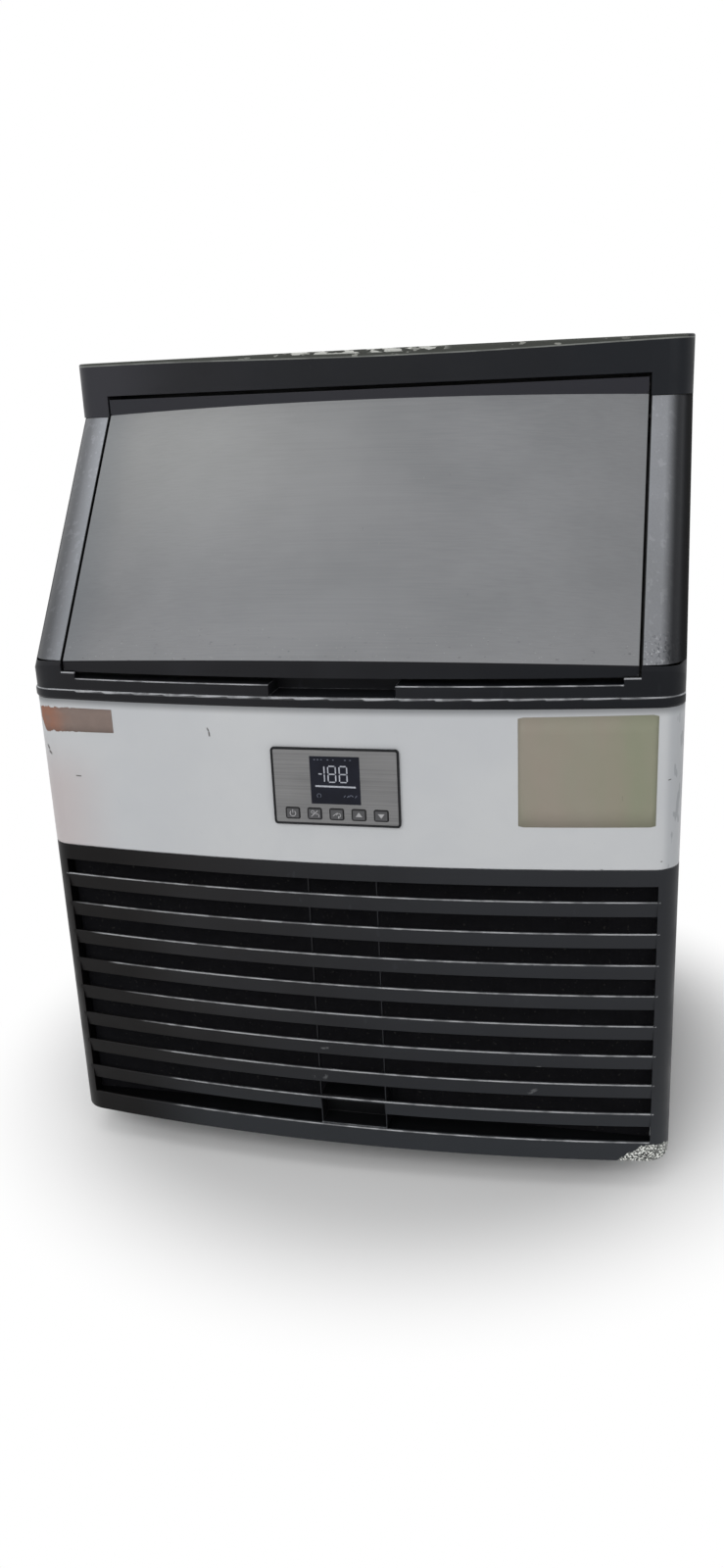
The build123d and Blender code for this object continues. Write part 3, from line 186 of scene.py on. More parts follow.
# ---------------------------------------------------------------- finishes
class Finish:
    """One material, and the node graph that varies its colour, roughness and surface."""

    def __init__(self, name, colour, rough=0.5, metal=0.0, specular=0.5):
        self.material = bpy.data.materials.new(name)
        self.material.use_nodes = True
        self.tree = self.material.node_tree
        self.shader = self.tree.nodes["Principled BSDF"]
        self.shader.inputs["Metallic"].default_value = metal
        self.shader.inputs["Specular IOR Level"].default_value = specular
        self.place = self.tree.nodes.new("ShaderNodeTexCoord").outputs["Object"]
        self.colour = linear(colour)
        self.rough = rough
        self.normal = None

    def feed(self, socket, value):
        """Link a socket to another, or give it a plain value."""
        if isinstance(value, bpy.types.NodeSocket):
            self.tree.links.new(value, socket)
        else:
            socket.default_value = value

    def node(self, kind, inputs, **settings):
        """Add a node with its inputs and settings, and return its first output."""
        made = self.tree.nodes.new(kind)
        for key, value in settings.items():
            setattr(made, key, value)
        for key, value in inputs.items():
            self.feed(made.inputs[key], value)
        return made.outputs[0]

    def maths(self, operation, a, b=0.0):
        """Arithmetic on two numbers."""
        return self.node("ShaderNodeMath", {0: a, 1: b}, operation=operation)

    def times(self, *values):
        """The product of masks and numbers."""
        product = values[0]
        for value in values[1:]:
            product = self.maths("MULTIPLY", product, value)
        return product

    def split(self, vector=None):
        """The x, y and z of a vector, or of the place on the body."""
        parts = self.tree.nodes.new("ShaderNodeSeparateXYZ")
        self.feed(parts.inputs[0], self.place if vector is None else vector)
        return parts.outputs

    def span(self, value, low, high, to_low=0.0, to_high=1.0):
        """A value from low to high spread smoothly over another range."""
        inputs = {"Value": value, "From Min": low, "From Max": high, "To Min": to_low, "To Max": to_high}
        return self.node("ShaderNodeMapRange", inputs, interpolation_type="SMOOTHSTEP")

    def noise(self, size, stretch=(1, 1, 1), turn=(0, 0, 0), detail=3.0, seed=0.0):
        """Noise with features about size metres across, drawn out along the axes by stretch."""
        scale = [1.0 / s for s in stretch]
        inputs = {"Vector": self.place, "Location": (seed, seed * 0.7, seed * 0.3), "Rotation": turn}
        turned = self.node("ShaderNodeMapping", inputs)
        at = self.node("ShaderNodeMapping", {"Vector": turned, "Scale": scale})
        return self.node("ShaderNodeTexNoise", {"Vector": at, "Scale": 1.0 / size, "Detail": detail})

    def along(self, axis, low, high):
        """A mask that rises from 0 at low to 1 at high along an axis."""
        return self.span(self.split()[axis], low, high)

    def beside(self, axis, low, high):
        """A mask that rises from 0 at low to 1 at high to both sides of the middle."""
        return self.span(self.maths("ABSOLUTE", self.split()[axis]), low, high)

    def facing(self, axis):
        """How far the surface faces along an axis of its body, from -1 to 1."""
        flat = self.tree.nodes.new("ShaderNodeNewGeometry").outputs["True Normal"]
        return self.split(self.local(flat))[axis]

    def local(self, normal):
        """A normal of the world, turned into the body's own directions."""
        return self.node("ShaderNodeVectorTransform", {"Vector": normal}, convert_from="WORLD",
                         convert_to="OBJECT", vector_type="NORMAL")

    def tint(self, mask, colour):
        """Mix the colour so far towards another where the mask says."""
        mix = self.tree.nodes.new("ShaderNodeMix")
        mix.data_type = "RGBA"
        self.feed(mix.inputs[0], mask)
        self.feed(mix.inputs[6], self.colour)
        self.feed(mix.inputs[7], linear(colour) if isinstance(colour, str) else colour)
        self.colour = mix.outputs[2]
        return self

    def drift(self, colour, size, amount, stretch=(1, 1, 1), seed=0.0):
        """Broad patches that lean towards another colour."""
        patches = self.span(self.noise(size, stretch, seed=seed), 0.36, 0.64, 0.0, amount)
        return self.tint(patches, colour)

    def marks(self, colour, size, cover, amount, stretch=(1, 1, 1), turn=(0, 0, 0), seed=0.0, within=None):
        """Small sharp marks: stains, chips or scratches, by their stretch. cover is a threshold."""
        mask = self.span(self.noise(size, stretch, turn, 2.0, seed), cover, cover + 0.03, 0.0, amount)
        if within is not None:
            mask = self.times(mask, within)
        return self.tint(mask, colour)

    def uneven(self, low, high, size, stretch=(1, 1, 1), seed=0.0):
        """Roughness that wanders between two values."""
        self.rough = self.span(self.noise(size, stretch, seed=seed), 0.3, 0.7, low, high)
        return self

    def rounded(self, radius):
        """Edges that catch the light as if they were rounded."""
        self.normal = self.node("ShaderNodeBevel", {"Radius": radius}, samples=4)
        return self

    def worn(self, colour, radius, amount, seed=0.0):
        """Edges rubbed towards another colour, unevenly."""
        soft = self.node("ShaderNodeBevel", {"Radius": radius}, samples=4)
        flat = self.tree.nodes.new("ShaderNodeNewGeometry").outputs["Normal"]
        match = self.tree.nodes.new("ShaderNodeVectorMath")
        match.operation = "DOT_PRODUCT"
        self.feed(match.inputs[0], soft)
        self.feed(match.inputs[1], flat)
        edge = self.span(match.outputs["Value"], 0.98, 0.8, 0.0, amount)
        patchy = self.span(self.noise(0.03, seed=seed), 0.35, 0.6, 0.25, 1.0)
        return self.tint(self.times(edge, patchy), colour)

    def painted_highlight_edges(self, colour, radius, amount, within=None):
        """Painted highlight on upper edges, so that they show as thin pale lines."""
        soft = self.node("ShaderNodeBevel", {"Radius": radius}, samples=4)
        rise = self.split(self.local(soft))[2]
        up = self.span(rise, 0.46, 0.62)
        tilted = self.span(rise, 0.92, 0.80)
        patchy = self.span(self.noise(0.02, seed=9.0), 0.35, 0.6, 0.35 * amount, amount)
        mask = self.times(up, tilted, patchy)
        if within is not None:
            mask = self.times(mask, within)
        return self.tint(mask, colour)

    def stroke(self, x, z, length, width, angle):
        """Mask of one short scratch at x, z on the front, turned by angle in degrees."""
        turn = math.radians(angle)
        place = self.split()
        dx = self.maths("SUBTRACT", place[0], x)
        dz = self.maths("SUBTRACT", place[2], z)
        c, s = math.cos(turn), math.sin(turn)
        run = self.maths("ADD", self.times(dx, c), self.times(dz, s))
        off = self.maths("SUBTRACT", self.times(dz, c), self.times(dx, s))
        near = self.span(self.maths("ABSOLUTE", run), length / 2, length / 2 - width)
        thin = self.span(self.maths("ABSOLUTE", off), width / 2, width / 4)
        return self.times(near, thin)

    def grain(self, size, depth, stretch=(1, 1, 1), detail=3.0, seed=0.0):
        """Fine relief, depth metres deep."""
        inputs = {"Height": self.noise(size, stretch, detail=detail, seed=seed), "Distance": depth}
        if self.normal is not None:
            inputs["Normal"] = self.normal
        self.normal = self.node("ShaderNodeBump", inputs)
        return self

    def done(self):
        """Link what was gathered and return the material."""
        self.feed(self.shader.inputs["Base Color"], self.colour)
        self.feed(self.shader.inputs["Roughness"], self.rough)
        if self.normal is not None:
            self.feed(self.shader.inputs["Normal"], self.normal)
        return self.material


def brushed(name, colour, dark, pale, along, rough, metal=0.9, lines=0.14):
    """Brushed metal with long fine lines along one axis."""
    stretch = [1, 1, 1]
    stretch[along] = 120
    f = Finish(name, colour, rough, metal)
    f.drift(dark, 0.16, 0.4, seed=1.0)
    f.drift(pale, 0.09, 0.3, seed=4.0)
    f.drift(dark, 0.0011, lines, stretch, seed=2.0)
    f.drift(pale, 0.0017, lines, stretch, seed=3.0)
    f.uneven(rough - 0.04, rough + 0.05, 0.0014, stretch)
    f.grain(0.001, 0.00001, stretch)
    return f


def moulding(name, colour, pale, rough=0.45, specular=0.3):
    """Moulded plastic with a fine texture, rubbed edges and faint scuffs."""
    f = Finish(name, colour, rough, 0.0, specular)
    f.drift(pale, 0.12, 0.25, seed=7.0)
    f.marks(pale, 0.012, 0.70, 0.4, (1, 1, 2.5), seed=3.0)
    f.worn(pale, EDGE_WIDTH, 0.4)
    f.uneven(rough - 0.07, rough + 0.1, 0.05)
    f.rounded(0.0009)
    f.grain(0.0009, 0.00003)
    return f


def enamel(name, colour, dark, rough=0.38):
    """Painted sheet with a slight orange peel, faint smudges and hair scratches."""
    f = Finish(name, colour, rough)
    f.drift(dark, 0.22, 0.35, seed=2.0)
    f.drift(dark, 0.03, 0.12, seed=5.0)
    f.marks(dark, 0.004, 0.74, 0.5, (1, 1, 14), (0.3, 0.5, 0.0), seed=6.0)
    f.uneven(rough - 0.06, rough + 0.12, 0.08)
    f.rounded(0.0008)
    f.grain(0.0035, 0.00003)
    return f


def bare_metal(name, colour, dark, rough, metal=1.0):
    """Plain metal with dull patches and fine stains."""
    f = Finish(name, colour, rough, metal)
    f.drift(dark, 0.05, 0.5, seed=1.0)
    f.marks(dark, 0.006, 0.62, 0.5, seed=4.0)
    f.uneven(rough - 0.08, rough + 0.15, 0.02)
    f.rounded(0.0005)
    f.grain(0.0012, 0.00004)
    return f


def rubber(name, colour, pale, rough=0.75):
    """Rubber with dust on it."""
    f = Finish(name, colour, rough, 0.0, 0.25)
    f.drift(pale, 0.02, 0.5, seed=1.0)
    f.marks(pale, 0.0016, 0.64, 0.6, seed=2.0)
    f.uneven(rough - 0.1, rough + 0.1, 0.01)
    f.grain(0.0008, 0.00008)
    return f


def clear(name, colour, pale, rough=0.12):
    """See-through plastic with water marks."""
    f = Finish(name, colour, rough)
    f.shader.inputs["Transmission Weight"].default_value = 0.75
    f.shader.inputs["IOR"].default_value = 1.45
    f.drift(pale, 0.03, 0.4, seed=3.0)
    f.marks(pale, 0.008, 0.64, 0.5, seed=5.0)
    f.uneven(rough, rough + 0.25, 0.02)
    f.grain(0.004, 0.00005)
    return f


def door_steel():
    """Brushed door sheet, mottled, with specks and scuffs that gather near its foot and dull sides; a
    painted reflection pales its upper left, and painted shade darkens its side edges in the gaps and its
    cut edge under the rail.
    """
    low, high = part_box("door_skin")
    f = brushed("door_steel", "727375", "66686a", "7e7f81", 0, 0.45, 0.85)
    # Painted reflection: paler towards the upper left
    left = f.along(0, low.x + 0.42, low.x + 0.10)
    pale = f.times(left, f.along(2, low.z + 0.05, high.z - 0.03))
    f.tint(f.times(pale, 0.55), "8b8c8b")
    f.tint(f.times(f.along(0, low.x + 0.05, low.x), 0.35), "62676c")
    f.tint(f.times(f.beside(0, 0.20, 0.04), 0.17), "4a4b4d")
    foot = f.along(2, low.z + 0.06, low.z + 0.015)
    f.marks("4a4a4b", 0.0030, 0.70, 0.5, (2.0, 1, 1), seed=11.0, within=foot)
    f.marks("a5a5a5", 0.0024, 0.71, 0.45, (1, 1, 1), seed=13.0, within=foot)
    f.marks("8f8f8f", 0.0022, 0.765, 0.35, (1, 3, 5), (0.0, 0.0, 0.2), seed=17.0)
    f.marks("565657", 0.0026, 0.775, 0.35, (1, 4, 6), (0.0, 0.15, 0.0), seed=19.0)
    # Painted shade: the door's side edges black where they show in the gaps
    f.tint(f.beside(0, high.x - 0.0004, high.x - 0.0002), "0e0f10")
    # Painted shade: the upright cut edge at the foot, under the rail's lip, darkened
    upright = f.span(f.facing(2), 0.40, 0.30)
    return f.tint(f.times(upright, f.along(2, low.z + 0.03, low.z + 0.02)), "1b1b1e")


def pillar_steel():
    """Sheet at the door's sides, scuffed at the right foot: a painted dark reflection on its rounded outer
    edges, painted shade on the jambs and towards the foot, and a painted highlight band inside the left
    edge.
    """
    low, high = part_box("pillar_trims")
    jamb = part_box("door_skin")[1].x + 0.0032
    f = brushed("pillar_steel", "848689", "75777d", "93959a", 2, 0.42, 0.75)
    right = f.along(0, high.x - 0.05, high.x - 0.035)
    foot = f.times(right, f.along(2, low.z + 0.034, low.z + 0.010))
    f.marks("c6c8cb", 0.0026, 0.61, 0.5, (1, 1, 2), seed=15.0, within=foot)
    f.marks("46484d", 0.0028, 0.58, 0.6, (1, 1, 1.5), seed=5.0, within=foot)
    f.marks("b8babd", 0.0060, 0.60, 0.14, (1, 1, 4), seed=53.0, within=right)
    f.marks("a9abb2", 0.0060, 0.60, 0.3, (1, 1, 2), seed=51.0, within=f.along(0, -0.1, -0.2))
    down = f.along(2, high.z, low.z)
    # Painted shade: the right pillar darker towards its foot
    f.tint(f.times(right, down, 0.26), "121316")
    # Painted reflection: dark towards the right pillar's rounded outer edge
    f.tint(f.times(f.along(0, high.x - 0.026, high.x - 0.013), 0.93), "101115")
    f.tint(f.times(f.along(0, high.x - 0.009, high.x - 0.002), 0.95), "060607")
    left = f.along(0, 0.0, -0.1)
    # Painted reflection: dark towards the left pillar's rounded outer edge
    f.tint(f.times(f.along(0, low.x + 0.046, low.x + 0.010), 0.42), "101213")
    f.tint(f.times(f.along(0, low.x + 0.013, low.x + 0.002), 0.76), "0c0d0e")
    # Painted shade: the left pillar darker towards its foot
    f.tint(f.times(left, down, 0.42), "141517")
    # Painted highlight: a pale band inside the left pillar's outer edge
    f.tint(f.times(left, f.along(0, low.x + 0.018, low.x + 0.040), 0.32), "a4a8ae")
    # Painted shade: the jambs black where they show in the gaps beside the door
    f.tint(f.times(f.beside(0, jamb + 0.0002, jamb), 0.97), "0c0d0e")
    dull = f.along(0, high.x - 0.014, high.x - 0.005)
    dull = f.maths("MAXIMUM", dull, f.along(0, low.x + 0.014, low.x + 0.004))
    f.rough = f.maths("MAXIMUM", f.rough, f.times(dull, 0.95))
    return f


def white_sheet():
    """White enamel of the front panel: pink smudge at the left, a painted shadow along the top edge, and at
    the right end painted shade on the rounded corner with rubbed grey streaks.
    """
    low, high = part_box("front_panel")
    f = enamel("white_sheet", "c2c4c6", "b4b7bc")
    left = f.along(0, low.x + 0.10, low.x + 0.01)
    down = f.along(2, high.z - 0.03, low.z + 0.06)
    f.tint(f.times(left, down, 0.4), "b79f9b")
    # Painted shadow: dark grey fading down from the top edge, under the sill's bead
    f.tint(f.times(f.along(2, high.z - 0.0095, high.z - 0.0002), 0.62), "3c3e42")
    # Painted shade on the rounded right corner as an even grey band, with rubbed grey streaks on it
    edge = f.along(0, high.x - 0.018, high.x - 0.010)
    f.tint(f.times(edge, 0.35), "8b9096")
    f.marks("7d8186", 0.010, 0.60, 0.5, (1, 1, 3), seed=21.0, within=edge)
    for x, z, length, width, angle in WHITE_SCRATCHES:
        f.tint(f.times(f.stroke(x, z, length, width, angle), 0.9), "37322f")
    return f


def black_finish(name, colour, dust=0.9, right=None, top=2.0):
    """Black moulding with a painted highlight on its upper edges below the height top, and a colour for its
    right end.
    """
    f = moulding(name, colour, "303236", 0.42, 0.14)
    if right:
        f.tint(f.times(f.along(0, -0.15, 0.30), 0.75), right)
    # dust sets the strength of the painted highlight on the upper edges
    if dust:
        f.painted_highlight_edges(PAINTED_HIGHLIGHT, EDGE_WIDTH, dust, f.along(2, top + 0.001, top))
    return f


def rail_black():
    """Moulding over the door's steel, with no painted highlight on its edges."""
    return black_finish("rail_black", "2a2a2f", 0.0, "27272d")


def sill_black():
    """Moulding of the sill and of the rail along the door's foot, with a painted highlight on its upper
    edges and on two step edges.
    """
    f = black_finish("sill_black", "1a1a1d", 0.95, "080c12", top=0.5545)
    # Painted highlight: pale lines on the step edges beside the door's foot
    step = f.times(f.along(2, 0.5499, 0.5502), f.along(2, 0.5518, 0.5512))
    ends = f.times(f.beside(0, 0.2738, 0.2742), f.beside(0, 0.2897, 0.2894))
    return f.tint(f.times(step, ends, 0.85), PAINTED_HIGHLIGHT)


def bowed_depth(f):
    """How far a point lies behind the middle of the bowed front, as y less the bow."""
    place = f.split()
    return f.maths("SUBTRACT", place[1], f.times(place[0], place[0], BOW))


def header_black():
    """Header moulding, with a painted highlight line along its top edge and what is left of its film along
    it.
    """
    f = moulding("header_black", "212124", "34353a", 0.42, 0.14)
    f.tint(f.times(f.along(0, -0.28, -0.02), 0.7), "0c0f14")
    f.tint(f.times(f.along(0, 0.10, 0.30), 0.5), "14181e")
    f.tint(f.times(f.along(0, -0.20, -0.30), 0.7), "38383d")
    return header_film(f)


def header_film(f):
    """Torn film along the header's top edge, deepest near the middle and creased there, with a painted
    highlight line along its lower edge.
    """
    low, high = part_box("header_fascia")
    place = f.split()
    deepest_x = 0.06
    aside = f.maths("ABSOLUTE", f.maths("SUBTRACT", place[0], deepest_x))
    depth = f.span(aside, 0.32, 0.02, 0.0034, 0.0074)
    below = f.maths("ADD", f.maths("SUBTRACT", place[2], high.z), depth)
    near = f.span(bowed_depth(f), low.y + 0.008, low.y + 0.006)
    film = f.times(f.span(below, 0.0, 0.0004), 0.92, near)
    f.tint(film, "434541")
    middle = f.times(film, f.span(aside, 0.26, 0.12))
    f.marks("aeafa9", 0.0045, 0.62, 0.6, (3, 1, 1), seed=33.0, within=middle)
    creased = f.times(f.along(0, -0.084, -0.070), f.along(0, 0.095, 0.075), near)
    creased = f.times(creased, f.span(below, 0.0032, 0.0042))
    f.marks("d2d3ce", 0.0050, 0.51, 0.8, (3, 1, 1), seed=37.0, within=creased)
    # Painted highlight: a pale line along the film's lower edge
    line = f.times(f.span(below, -0.0005, -0.0001), f.span(below, 0.0012, 0.0008))
    return f.tint(f.times(line, f.span(f.noise(0.03, seed=35.0), 0.3, 0.6, 0.5, 0.9)), "7d7f7c")


def grille_black():
    """Grille moulding: darker at the left, with painted highlights on the louvres' upper edges, painted
    shade on faces set back from the front, scuffs and a chipped lower right corner.
    """
    low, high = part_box("front_grille")
    f = moulding("grille_black", "1b1a1b", "303236", 0.42, 0.14)
    f.tint(f.times(f.along(0, -0.25, 0.20), 0.75), "2a2c30")
    f.tint(f.times(f.along(2, low.z + 0.10, low.z + 0.01), 0.6), "33363a")
    f.tint(f.times(f.along(0, -0.15, -0.27), 0.95), "060404")
    # Painted highlight on the louvres' upper edges, fading out towards the lower left
    place = f.split()
    slant = f.maths("ADD", place[0], f.times(f.maths("MAXIMUM", place[2], 0.1), 0.5))
    f.painted_highlight_edges("b9bbbe", EDGE_WIDTH, 0.9, f.span(slant, -0.165, -0.145, 0.02, 1.0))
    for x, z, length, width, angle in LOUVRE_SCUFFS:
        patch = f.times(f.stroke(x, z, length, width, angle), 0.5)
        f.marks("6f7072", 0.004, 0.45, 1.0, seed=25.0, within=patch)
    # Painted shade: faces set back behind the bowed front, away from the side ends, darkened to near black
    behind = f.span(bowed_depth(f), low.y + 0.0034, low.y + 0.0042)
    f.tint(f.times(behind, f.beside(0, high.x - 0.014, high.x - 0.020), 0.9), "060607")
    return chips(f, chipped_corner(f))


def chipped_corner(f):
    """Mask of the chipped lower right corner, below a steep and a flat ragged line."""
    place = f.split()
    steep_slope, flat_slope = 0.69, 0.143
    steep = f.maths("SUBTRACT", place[2], f.times(place[0], steep_slope))
    flat = f.maths("SUBTRACT", place[2], f.times(place[0], flat_slope))
    flat = f.maths("ADD", flat, f.times(f.maths("ADD", place[1], 0.258), 0.45))
    ragged = f.times(f.maths("SUBTRACT", f.noise(0.006, seed=45.0), 0.5), 0.008)
    steep = f.span(f.maths("ADD", steep, ragged), -0.1567, -0.1575)
    flat = f.span(f.maths("ADD", flat, ragged), 0.0090, 0.0082)
    return f.times(steep, flat)


def chips(f, within):
    """Chipped speckles in grey, white and black."""
    f.tint(within, "7b7d7a")
    f.marks("0c0d0d", 0.0024, 0.54, 1.0, seed=41.0, within=within)
    f.marks("eceee9", 0.0020, 0.53, 1.0, seed=43.0, within=within)
    return f


def throat_white():
    """White frame of the mouth, with painted shade: black along its top and where it shows in the gaps
    beside the door.
    """
    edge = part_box("door_skin")[1].x
    f = moulding("throat_white", "d8d9d7", "bfc0be", 0.42, 0.4)
    # Painted shade: black along the top of the frame and in the gaps beside the door
    f.tint(f.along(2, 0.8055, 0.8065), "0b0c0d")
    return f.tint(f.beside(0, edge - 0.0008, edge), "0e0f10")


def filter_mesh():
    """Woven black mesh of the dust filter."""
    f = Finish("filter_mesh", "0e0e10", 0.8, 0.0, 0.05)
    f.drift("17171a", 0.04, 0.5, seed=2.0)
    for axis in (0, 2):
        wave = f.node("ShaderNodeTexWave", {"Vector": f.place, "Scale": 260.0}, bands_direction="XYZ"[axis])
        f.tint(f.span(wave, 0.55, 0.9, 0.0, 0.6), "1f1f22")
    f.marks("3c3b38", 0.003, 0.68, 0.5, seed=6.0)
    f.uneven(0.7, 0.9, 0.01)
    f.grain(0.0012, 0.0001)
    return f


def lens_navy():
    """Dark screen behind a clear window."""
    f = Finish("lens_navy", "12141f", 0.12, 0.0, 0.15)
    f.drift("1a1d29", 0.02, 0.6, seed=1.0)
    f.uneven(0.08, 0.22, 0.02)
    f.grain(0.004, 0.00001)
    return f


def foam():
    """Blown foam with open cells, painted black as shade on its front and in the hinge bay, where gaps
    open.
    """
    f = Finish("foam", "d8cfa8", 0.9)
    f.drift("c2b488", 0.03, 0.6, seed=1.0)
    f.marks("a89a6c", 0.003, 0.6, 0.5, seed=2.0)
    gap_shade = "0d0e0f"
    # Painted shade: black on the foam's front and in the hinge bay, where it shows through gaps
    f.tint(f.along(1, -0.2190, -0.2200), gap_shade)
    bay = f.times(f.beside(0, 0.2940, 0.2932), f.along(2, 0.7900, 0.7950))
    f.tint(f.times(bay, f.along(1, -0.0150, -0.0180)), gap_shade)
    f.uneven(0.8, 1.0, 0.01)
    f.grain(0.003, 0.0006)
    return f


def key_grey():
    """Rubbery key caps with darkened rims."""
    f = moulding("key_grey", "4d4d4f", "606062", 0.45, 0.2)
    low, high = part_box("key_set")
    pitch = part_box("key_up")[0].x - low.x
    place = f.split()
    inputs = {0: place[0], 1: pitch / 2, 2: -pitch / 2}
    across = f.maths("ABSOLUTE", f.node("ShaderNodeMath", inputs, operation="WRAP"))
    upright = f.maths("ABSOLUTE", f.maths("SUBTRACT", place[2], (low.z + high.z) / 2))
    half_wide, half_tall = 7.25 * MM, 6.0 * MM
    aside = f.maths("SUBTRACT", across, half_wide)
    above = f.maths("SUBTRACT", upright, half_tall)
    past = f.maths("MAXIMUM", aside, above)
    return f.tint(f.span(past, -1.4 * MM, -1.0 * MM, 0.0, 0.95), "111113")


def circuit():
    """Green board with printed tracks."""
    f = Finish("board_green", "1f5a35", 0.4)
    f.marks("3d8a5a", 0.003, 0.55, 0.8, (6, 1, 1), seed=1.0)
    f.marks("c9b070", 0.0016, 0.68, 0.9, seed=2.0)
    f.uneven(0.3, 0.5, 0.01)
    f.grain(0.001, 0.00005)
    return f


def make_finishes():
    """Every slot of the record with its material."""
    return {
        "side_steel": brushed("side_steel", "8b8c8e", "787a7c", "9a9b9d", 2, 0.42, 0.8),
        "galvanised": bare_metal("galvanised", "a2a4a6", "86898c", 0.48, 0.75),
        "white_sheet": white_sheet(),
        "black_moulding": black_finish("black_moulding", "1c1d20"),
        "door_steel": door_steel(),
        "pillar_steel": pillar_steel(),
        "liner_plastic": moulding("liner_plastic", "bcc3c9", "a9b0b8", 0.4, 0.4),
        "white_plastic": moulding("white_plastic", "d8d9d7", "bfc0be", 0.42, 0.4),
        "foam": foam(),
        "seal_rubber": rubber("seal_rubber", "1c1c1d", "3b3b3c"),
        "foot_rubber": rubber("foot_rubber", "18181a", "444342"),
        "hose_rubber": rubber("hose_rubber", "b4b6b8", "98999b", 0.5),
        "zinc": bare_metal("zinc", "b2b2ac", "8d8c84", 0.4),
        "grid_nickel": bare_metal("grid_nickel", "c8c5bd", "a8a49a", 0.3),
        "copper": bare_metal("copper", "c58662", "7d4e38", 0.35),
        "brass": bare_metal("brass", "c3a566", "8a7240", 0.35),
        "clear_plastic": clear("clear_plastic", "c4d0d8", "e4e8ea"),
        "float_white": moulding("float_white", "e0e0de", "c6c6c4", 0.5, 0.4),
        "pump_plastic": moulding("pump_plastic", "2b2b2d", "434346", 0.5, 0.3),
        "compressor_black": enamel("compressor_black", "1d1d1f", "3a3836", 0.35),
        "fins": bare_metal("fins", "c2c3c4", "97989a", 0.4, 0.9),
        "fan_metal": bare_metal("fan_metal", "b5b6b8", "8b8c8e", 0.38),
        "blackened_steel": bare_metal("blackened_steel", "1c1c1e", "2c2a29", 0.5, 0.6),
        "motor_black": bare_metal("motor_black", "2a2a2c", "4a4644", 0.6, 0.2),
        "box_steel": enamel("box_steel", "a5a7a9", "8e9092", 0.45),
        "fascia_brushed": brushed("fascia_brushed", "737374", "5f5f60", "8c8c8c", 0, 0.42, 0.6, 0.35),
        "bezel_dark": moulding("bezel_dark", "141517", "2a2b2e", 0.35, 0.15),
        "lens_navy": lens_navy(),
        "key_grey": key_grey(),
        "board_green": circuit(),
        "filter_mesh": filter_mesh(),
    }


def dress(finishes):
    """Give every CAD node the finish of its slot, and the large mouldings of the front their own."""
    made = {name: finish.done() for name, finish in finishes.items()}
    for node in NODES.values():
        for place in node.material_slots:
            place.material = made[place.material.name.split(".")[0]]
    own = {"header_fascia": header_black, "door_top_rail": rail_black, "sill_fascia": sill_black,
           "front_grille": grille_black, "bin_throat": throat_white}
    for name, finish in own.items():
        NODES[name].material_slots[0].material = finish().done()
    NODES["door_handle_rail"].material_slots[0].material = bpy.data.materials["sill_black"]


# ---------------------------------------------------------------- small pieces
def link_mesh(name, points, faces, material, body, slot, smooth=False):
    """Make a mesh piece that rides on a body."""
    mesh = bpy.data.meshes.new(name)
    mesh.from_pydata(points, [], faces)
    mesh.validate()
    mesh.materials.append(material)
    for face in mesh.polygons:
        face.use_smooth = smooth
    piece = bpy.data.objects.new(name, mesh)
    bpy.context.scene.collection.objects.link(piece)
    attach(piece, body)
    return piece


def prisms(outlines, front_y, depth):
    """Points and faces of flat shapes, given as (x, z) outlines, stood out to front_y."""
    points, faces = [], []
    for outline in outlines:
        first, count = len(points), len(outline)
        points += [(x, front_y, z) for x, z in outline]
        points += [(x, front_y + depth, z) for x, z in outline]
        faces.append([first + i for i in range(count)])
        faces.append([first + count + i for i in reversed(range(count))])
        for i in range(count):
            j = (i + 1) % count
            faces.append([first + i, first + count + i, first + count + j, first + j])
    return points, faces


def bar(x, z, length, width, upright=False):
    """Six-sided bar with pointed ends, centred at x, z."""
    half, side = length / 2, width / 2
    outline = [(-half, 0), (-half + side, -side), (half - side, -side), (half, 0), (half - side, side),
               (-half + side, side)]
    if upright:
        outline = [(-b, a) for a, b in outline]
    return [(x + a, z + b) for a, b in outline]


def arc_band(x, z, radius, width, start, end, steps=12):
    """Outline of a bent band, with its angles in degrees from +X."""
    outer, inner = [], []
    for i in range(steps + 1):
        angle = math.radians(start + (end - start) * i / steps)
        c, s = math.cos(angle), math.sin(angle)
        outer.append((x + (radius + width / 2) * c, z + (radius + width / 2) * s))
        inner.append((x + (radius - width / 2) * c, z + (radius - width / 2) * s))
    return outer + inner[::-1]


def stroke(x0, z0, x1, z1, width):
    """Straight stroke between two points."""
    run = math.hypot(x1 - x0, z1 - z0)
    a, b = -(z1 - z0) / run * width / 2, (x1 - x0) / run * width / 2
    return [(x0 - a, z0 - b), (x1 - a, z1 - b), (x1 + a, z1 + b), (x0 + a, z0 + b)]


def digit_eight(x, z, wide, tall, line):
    """The seven bars of a lit figure eight, from its lower left corner."""
    gap = 1.0 * MM
    half = tall / 2
    across = wide - line
    rows = (line / 2, half, tall - line / 2)
    shapes = [bar(x + wide / 2, z + row, across - gap, line) for row in rows]
    for side in (x + line / 2, x + wide - line / 2):
        for level in (half / 2 + line / 4, tall - half / 2 - line / 4):
            shapes.append(bar(side, z + level, half - line / 2 - gap, line, True))
    return shapes


def make_screen(material, faint):
    """Lit figures, line and faint symbols of the display."""
    low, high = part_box("display_lens")
    left, top = low.x, high.z
    rule = stroke(left + 4.7 * MM, top - 30.6 * MM, left + 45.5 * MM, top - 31.0 * MM, 1.7 * MM)
    shapes = [("screen_figures", lit_figures(left, top), material), ("screen_rule", [rule], material),
              ("screen_symbols", faint_symbols(left, top), faint)]
    depth = 0.08 * MM
    proud = depth * 0.6
    for name, outlines, ink in shapes:
        mesh = prisms(outlines, low.y - proud, depth)
        link_mesh(name, *mesh, ink, "cabinet", "white_plastic")


